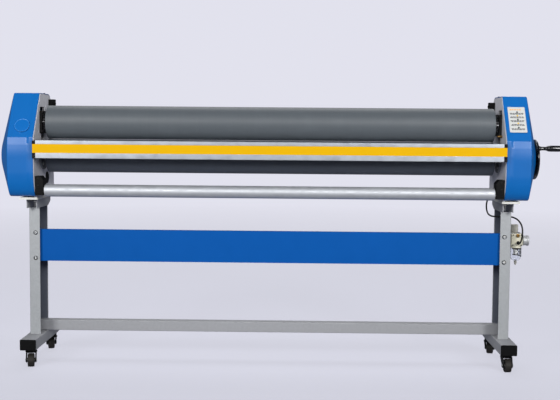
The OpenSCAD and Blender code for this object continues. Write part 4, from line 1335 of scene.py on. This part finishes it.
def make_hose_fittings():
    """Push-in sockets with release collars: straight on the regulator, elbow on the plate."""
    first, last = HOSE_ROUTE[0], HOSE_ROUTE[-1]
    sockets = Piece("hose_socket_set", BLACK_PLASTIC)
    y = first[1]
    sockets.turned(
        [
            (3.1, y), (4.8, y), (5.1, y + 0.4), (5.1, y + 2), (6, y + 2.2), (6.5, y + 2.8),
            (6.5, y + 9.6), (5.6, y + 10.2), (5.6, y + 14.4), (3.1, y + 14.4),
        ],
        (first[0], 0, first[2]), "y", 40,
    )
    z = last[2]
    sockets.turned(
        [
            (3.1, z), (4.8, z), (5.1, z + 0.4), (5.1, z + 2), (5.6, z + 2.2), (6, z + 2.8),
            (6, z + 15.6), (5, z + 17.6), (3.1, z + 18),
        ],
        (last[0], last[1], 0), "z", 40,
    )
    sockets.turned(ring(0, 3.1, z + 11, z + 18), (last[0], last[1], 0), "z", 24)
    sockets.turned(
        [
            (0, last[0]), (5, last[0]), (5, PLATE_X - 3.4), (5.6, PLATE_X - 3, 6), (5.6, PLATE_X, 6),
            (0, PLATE_X),
        ],
        (0, last[1], z + 12), "x", 36,
    )
    sockets.done("root", "black_plastic", "hose_fittings")


HOSE_ROUTE = [
    (942, -34, 468), (942, -41, 468), (942.2, -48, 469), (942.6, -54.4, 471.7), (943.3, -59.9, 476.1),
    (944.2, -64, 481.8), (945.2, -66.4, 488.4), (946.3, -67, 496), (947.4, -66.2, 505.5),
    (948, -64, 516), (947.6, -61, 527), (944.9, -57.4, 538.6), (939.2, -52.5, 549.9),
    (929.9, -46.5, 559.6), (917.6, -41, 565.8), (904, -38.3, 568), (890, -38, 568), (878, -38, 568),
    (869, -38, 568), (859.8, -36.4, 568), (851.6, -31.7, 568), (845.6, -24.5, 568),
    (842.2, -15.5, 568.1), (840, -5, 568.5), (838, 7, 569.6), (836.2, 20, 572), (835.2, 33, 576),
    (834.6, 46, 583), (834.8, 57, 593), (836, 65, 605), (839, 70, 618), (843.2, 71.8, 628.5),
    (846.7, 72, 637.5), (848, 72, 644.5), (848, 72, 650),
]
HOSE_THROUGH = HOSE_ROUTE[16][1:]
HOSE_R = 3.0


def make_hose():
    """The air hose: one open spline along its route, from the regulator to the side plate."""
    data = bpy.data.curves.new("air_hose_line", "CURVE")
    data.dimensions = "3D"
    data.bevel_depth = HOSE_R * MM
    data.bevel_resolution = 6
    data.resolution_u = 8
    data.use_fill_caps = True
    spline = data.splines.new("BEZIER")
    spline.bezier_points.add(len(HOSE_ROUTE) - 1)
    route = [Vector(p) * MM for p in HOSE_ROUTE]
    for i, point in enumerate(spline.bezier_points):
        reach = (route[min(i + 1, len(route) - 1)] - route[max(i - 1, 0)]) / 6
        point.handle_left_type = point.handle_right_type = "FREE"
        point.co = route[i]
        point.handle_left, point.handle_right = route[i] - reach, route[i] + reach
    data.materials.append(HOSE)
    hose = bpy.data.objects.new("air_hose_line", data)
    SCENE.collection.objects.link(hose)
    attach(hose, "root")
    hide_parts("air_hose")
    return hose


# Lift valve

VALVE_X, VALVE_Z = PLATE_X + 55, 860


def on_rear(x, z):
    """A frame on the right cover's sloped back, with local Z outwards."""
    run = Vector((0, REAR_FOOT[0] - REAR_TOP[0], REAR_FOOT[1] - REAR_TOP[1])).normalized()
    y = REAR_TOP[0] + (REAR_TOP[1] - z) * run.y / -run.z
    out = run.cross(Vector((1, 0, 0)))
    if out.y < 0:
        out = -out
    up = out.cross(Vector((1, 0, 0)))
    basis = Matrix((Vector((1, 0, 0)), up, out)).transposed().to_4x4()
    return Matrix.Translation((x, y, z)) @ basis


def make_lift_valve():
    """Toggle valve through the cover's back: body inside, ring nut, ears and a red-tipped lever."""
    frame_at = on_rear(VALVE_X, VALVE_Z)
    valve = Piece("lift_valve_body", BLACK_PLASTIC).placed(frame_at)
    valve.block((-12, 12), (-18, 18), (-33, -3.6), 1.2)
    valve.turned(ring(0, 8, -4, 1), steps=40)
    for side in (-1, 1):
        x = sorted((side * 4.5, side * 7.5))
        valve.drawn(rounded([(-4, 4.6), (4, 4.6), (4, 16), (-4, 16)], 3, 5), *x, "x", 0.4)
    valve.painted(ZINC).turned([(0, 0.1), (10, 0.1), (10, 1.0), (9.6, 1.3), (0, 1.3)], steps=48)
    valve.turned([(0, 1.2), (8.6, 1.2, 6), (8.6, 5.4, 6), (7.9, 6), (0, 6)], steps=48)
    for side in (-1, 1):
        for y in (-10.5, 10.5):
            valve.turned(ring(3.2, 5, -25, -22, 6), (side * 5.5, y, 0), "z", 24)
    valve.done("root", "black_plastic", "lift_valve")
    lever = Piece("lift_valve_handle", STEEL).placed(frame_at)
    lever.turned([(0, -8), (1.6, -8), (2, -7.6), (2, 7.6), (1.6, 8), (0, 8)], (0, 0, 12), "x", 24)
    lever.turned([(0, -4), (3.6, -4), (4, -3.6), (4, 3.6), (3.6, 4), (0, 4)], (0, 0, 12), "x", 32)
    lever.turned([(0, 12), (2.5, 12), (2.3, 40), (0, 40)], steps=24)
    lever.painted(RED)
    ball = [(0, 37)]
    for k in range(1, 12):
        angle = pi * k / 12
        ball.append((7 * sin(angle), 44 - 7 * cos(angle)))
    lever.turned(ball + [(0, 51)], steps=40)
    lever.done("lift_valve_lever", "red_plastic", "lift_valve_lever")


# Casters

CROWN = (52.6, 60.5)
LEG_GAP, LEG_T = 15.0, 3.5
WHEEL_HALF = 12.0


def caster_frame(name):
    """A caster's own frame: local X points along its trail, local Z up, origin on the floor."""
    swivel = pivot("swivel_" + name)
    axle = pivot("roll_" + name)
    along = Vector((axle.x - swivel.x, axle.y - swivel.y, 0))
    turn = Vector((1, 0, 0)).rotation_difference(along.normalized())
    place = Matrix.Translation((swivel.x, swivel.y, 0)) @ turn.to_matrix().to_4x4()
    return place, along.length, axle.z


def make_stems():
    """Ball-race cups under the foot tubes with threaded stems, nuts and washers."""
    stems = Piece("caster_stem_set", ZINC)
    top = span("caster_stems")[2][1]
    tube_low = span("foot_tubes")[2][0]
    for name in CASTERS:
        place, _, _ = caster_frame(name)
        stems.placed(place).painted(BLACK_STEEL)
        cup = [(0, 61), (16.6, 61), (18.4, 61.8), (19, 63), (19, 65.2), (18.4, tube_low), (0, tube_low)]
        stems.turned(cup, steps=60)
        stems.turned([(0, 49), (5, 49), (5, 69), *thread(5, 69.5, top), (0, top)], steps=32)
        stems.turned([(0, 49), (7.4, 49), (8, 49.6), (8, 51.6), (7.4, 52), (0, 52)], steps=36)
        stems.painted(ZINC)
        nut = [
            (4.8, tube_low + 3), (7.2, tube_low + 3), (7.8, tube_low + 3.8, 6),
            (7.8, tube_low + 10.2, 6), (7.2, tube_low + 11), (4.8, tube_low + 11),
        ]
        stems.turned(nut, steps=48)
    stems.done("root", "zinc", "caster_stems")


def make_fork(name):
    """Pressed steel fork: domed crown, shoulders, tapered legs and the axle with its nuts."""
    place, trail, axle_z = caster_frame(name)
    fork = Piece(f"fork_{name}_pressing", BLACK_STEEL).placed(place)
    low, high = CROWN
    fork.turned(
        [
            (5.2, low), (16, low), (20.8, low - 1.6), (22, low - 0.4), (21.8, low + 2.4),
            (19.2, high - 1), (17, high), (5.2, high),
        ],
        steps=64,
    )
    outline = [
        (-15.5, high - 3, 3), (-16, 47, 8), (trail - 11, axle_z - 1, 10), (trail - 6, axle_z - 9.5, 5),
        (trail + 6, axle_z - 9.5, 5), (trail + 10.5, axle_z + 2, 9), (25, 50, 8), (20, high - 3, 3),
    ]
    for side in (-1, 1):
        y = sorted((side * LEG_GAP, side * (LEG_GAP + LEG_T)))
        fork.drawn(rounded(outline, steps=5), *y, "y", 1.2)
        rib = [(-9, 49, 2), (trail - 5, axle_z + 5, 3), (trail + 4, axle_z + 5, 3), (17, 49, 2)]
        ridge = sorted((side * (LEG_GAP + LEG_T - 0.4), side * (LEG_GAP + LEG_T + 1.0)))
        fork.drawn(rounded(rib, steps=4), *ridge, "y", 0.8)
    fork.block((-15, 19), (-LEG_GAP - 1, LEG_GAP + 1), (low - 2.2, low + 1), 0.8)
    fork.painted(ZINC)
    reach = LEG_GAP + LEG_T + 2
    centre = (trail, 0, axle_z)
    fork.turned(
        [(0, -reach), (3.2, -reach), (3.9, -reach + 0.8), (3.9, reach - 0.8), (3.2, reach), (0, reach)],
        centre, "y", 32,
    )
    for side in (-1, 1):
        face = side * (LEG_GAP + LEG_T)
        head = [
            (3.9, face), (6, face), (6.2, face + side * 0.6, 6), (6.2, face + side * 1.9, 6),
            (5.4, face + side * 2.2), (3.9, face + side * 2.2),
        ]
        fork.turned(head, centre, "y", 36)
    fork.done("fork_" + name, "black_steel", "fork_" + name)


def make_wheel(name):
    """Tyre with a crowned tread on a spoked nylon hub with thread guards."""
    place, trail, axle_z = caster_frame(name)
    half = WHEEL_HALF
    centre = (trail, 0, axle_z)
    wheel = Piece(f"wheel_{name}_tyre", WHEEL).placed(place)
    tread = [
        (18.2, -half + 1.4), (19.4, -half + 0.2), (21.2, -half), (23.4, -half + 0.5),
        (24.6, -half + 2.2), (24.95, -half + 5), (25, 0),
    ]
    wheel.turned(tread + [(r, -y) for r, y in reversed(tread[:-1])], centre, "y", 72)
    wheel.painted(HUB)
    hub = [
        (4.15, -half - 2.5), (7.6, -half - 2.5), (8.2, -half - 2), (9, -half + 1.6), (9.6, -half + 3.6),
        (15.6, -half + 3.8), (16.4, -half + 1.6), (17.4, -half + 1.1), (18.4, -half + 1.4),
    ]
    wheel.turned(both_ways(hub), centre, "y", 60)
    for side in (-1, 1):
        for k in range(6):
            turn = Matrix.Translation(centre) @ Matrix.Rotation(radians(60 * k), 4, "Y")
            y = sorted((side * (half - 4), side * (half - 1.8)))
            wheel.placed(place @ turn).block((8.6, 16.4), y, (-1.1, 1.1), 0.5)
    wheel.done("wheel_" + name, "wheel_brown", "wheel_" + name)


# Assembly

place_camera()
hose = make_hose()
light_studio()
make_floor()

make_cover("left", -1)
make_cover("right", 1, 15.5)
make_badge()
make_label()
make_lower_bearings()
make_upper_bearings()
make_block_screws()
make_sleeve("upper_roller_sleeve", RUBBER_UPPER, "rubber_upper", "upper_roller", UPPER)
make_sleeve("lower_roller_sleeve", RUBBER_LOWER, "rubber_lower", "lower_roller", LOWER)
make_core("upper_roller_core", "upper_roller", UPPER, 12, span("upper_roller_core")[0][1])
make_core("lower_roller_core", "lower_roller", LOWER, 15, PLATE_X + 16, span("lower_roller_core")[0][1])
make_handwheel()
make_grip()
make_tube("supply_tube", "supply_tube_spin")
make_tube("film_tube", "film_tube_spin")
make_tube_holders()
make_film_holders()
make_small_screws()
make_stand()
make_end_caps()
make_panel_bolts()
make_head_bolts()
make_grommets()
make_regulator()
make_knob()
make_gauge()
make_bowl()
make_brass()
make_hose_fittings()
make_lift_valve()
make_stems()
for caster in CASTERS:
    make_fork(caster)
    make_wheel(caster)

for cad_node, coat, coat_slot, edge_mm, rides in (
    ("left_side_plate", SIDE_PLATE, "frame_grey", 0.8, "root"),
    ("right_side_plate", SIDE_PLATE, "frame_grey", 0.8, "root"),
    ("head_channels", FRAME_GREY, "frame_grey", 0.9, "root"),
    ("base_plates", PLATE_LIGHT, "plate_light", 0.9, "root"),
    ("foot_blocks", CAST_GREY, "cast_grey", 1.6, "root"),
    ("front_panel", PANEL_BLUE, "panel_blue", 0.7, "root"),
    ("air_cylinders", ALUMINIUM, "aluminium", 0.8, "root"),
    ("feed_table", TABLE_ALUMINIUM, "aluminium", 0.9, "root"),
    ("feed_table_end_plugs", BLACK_PLASTIC, "black_plastic", 0.9, "root"),
    ("regulator_bracket", ZINC, "zinc", 0.6, "root"),
    ("bearing_blocks", BLACK_BLOCK, "black_block", 1.4, "upper_carriage"),
):
    softened(cad_node, coat, edge_mm, rides)
repainted("feed_table_stripe", YELLOW)
repainted("lift_rods", ROD_STEEL)

SCENE.view_settings.view_transform = "Standard"
bpy.context.view_layer.update()
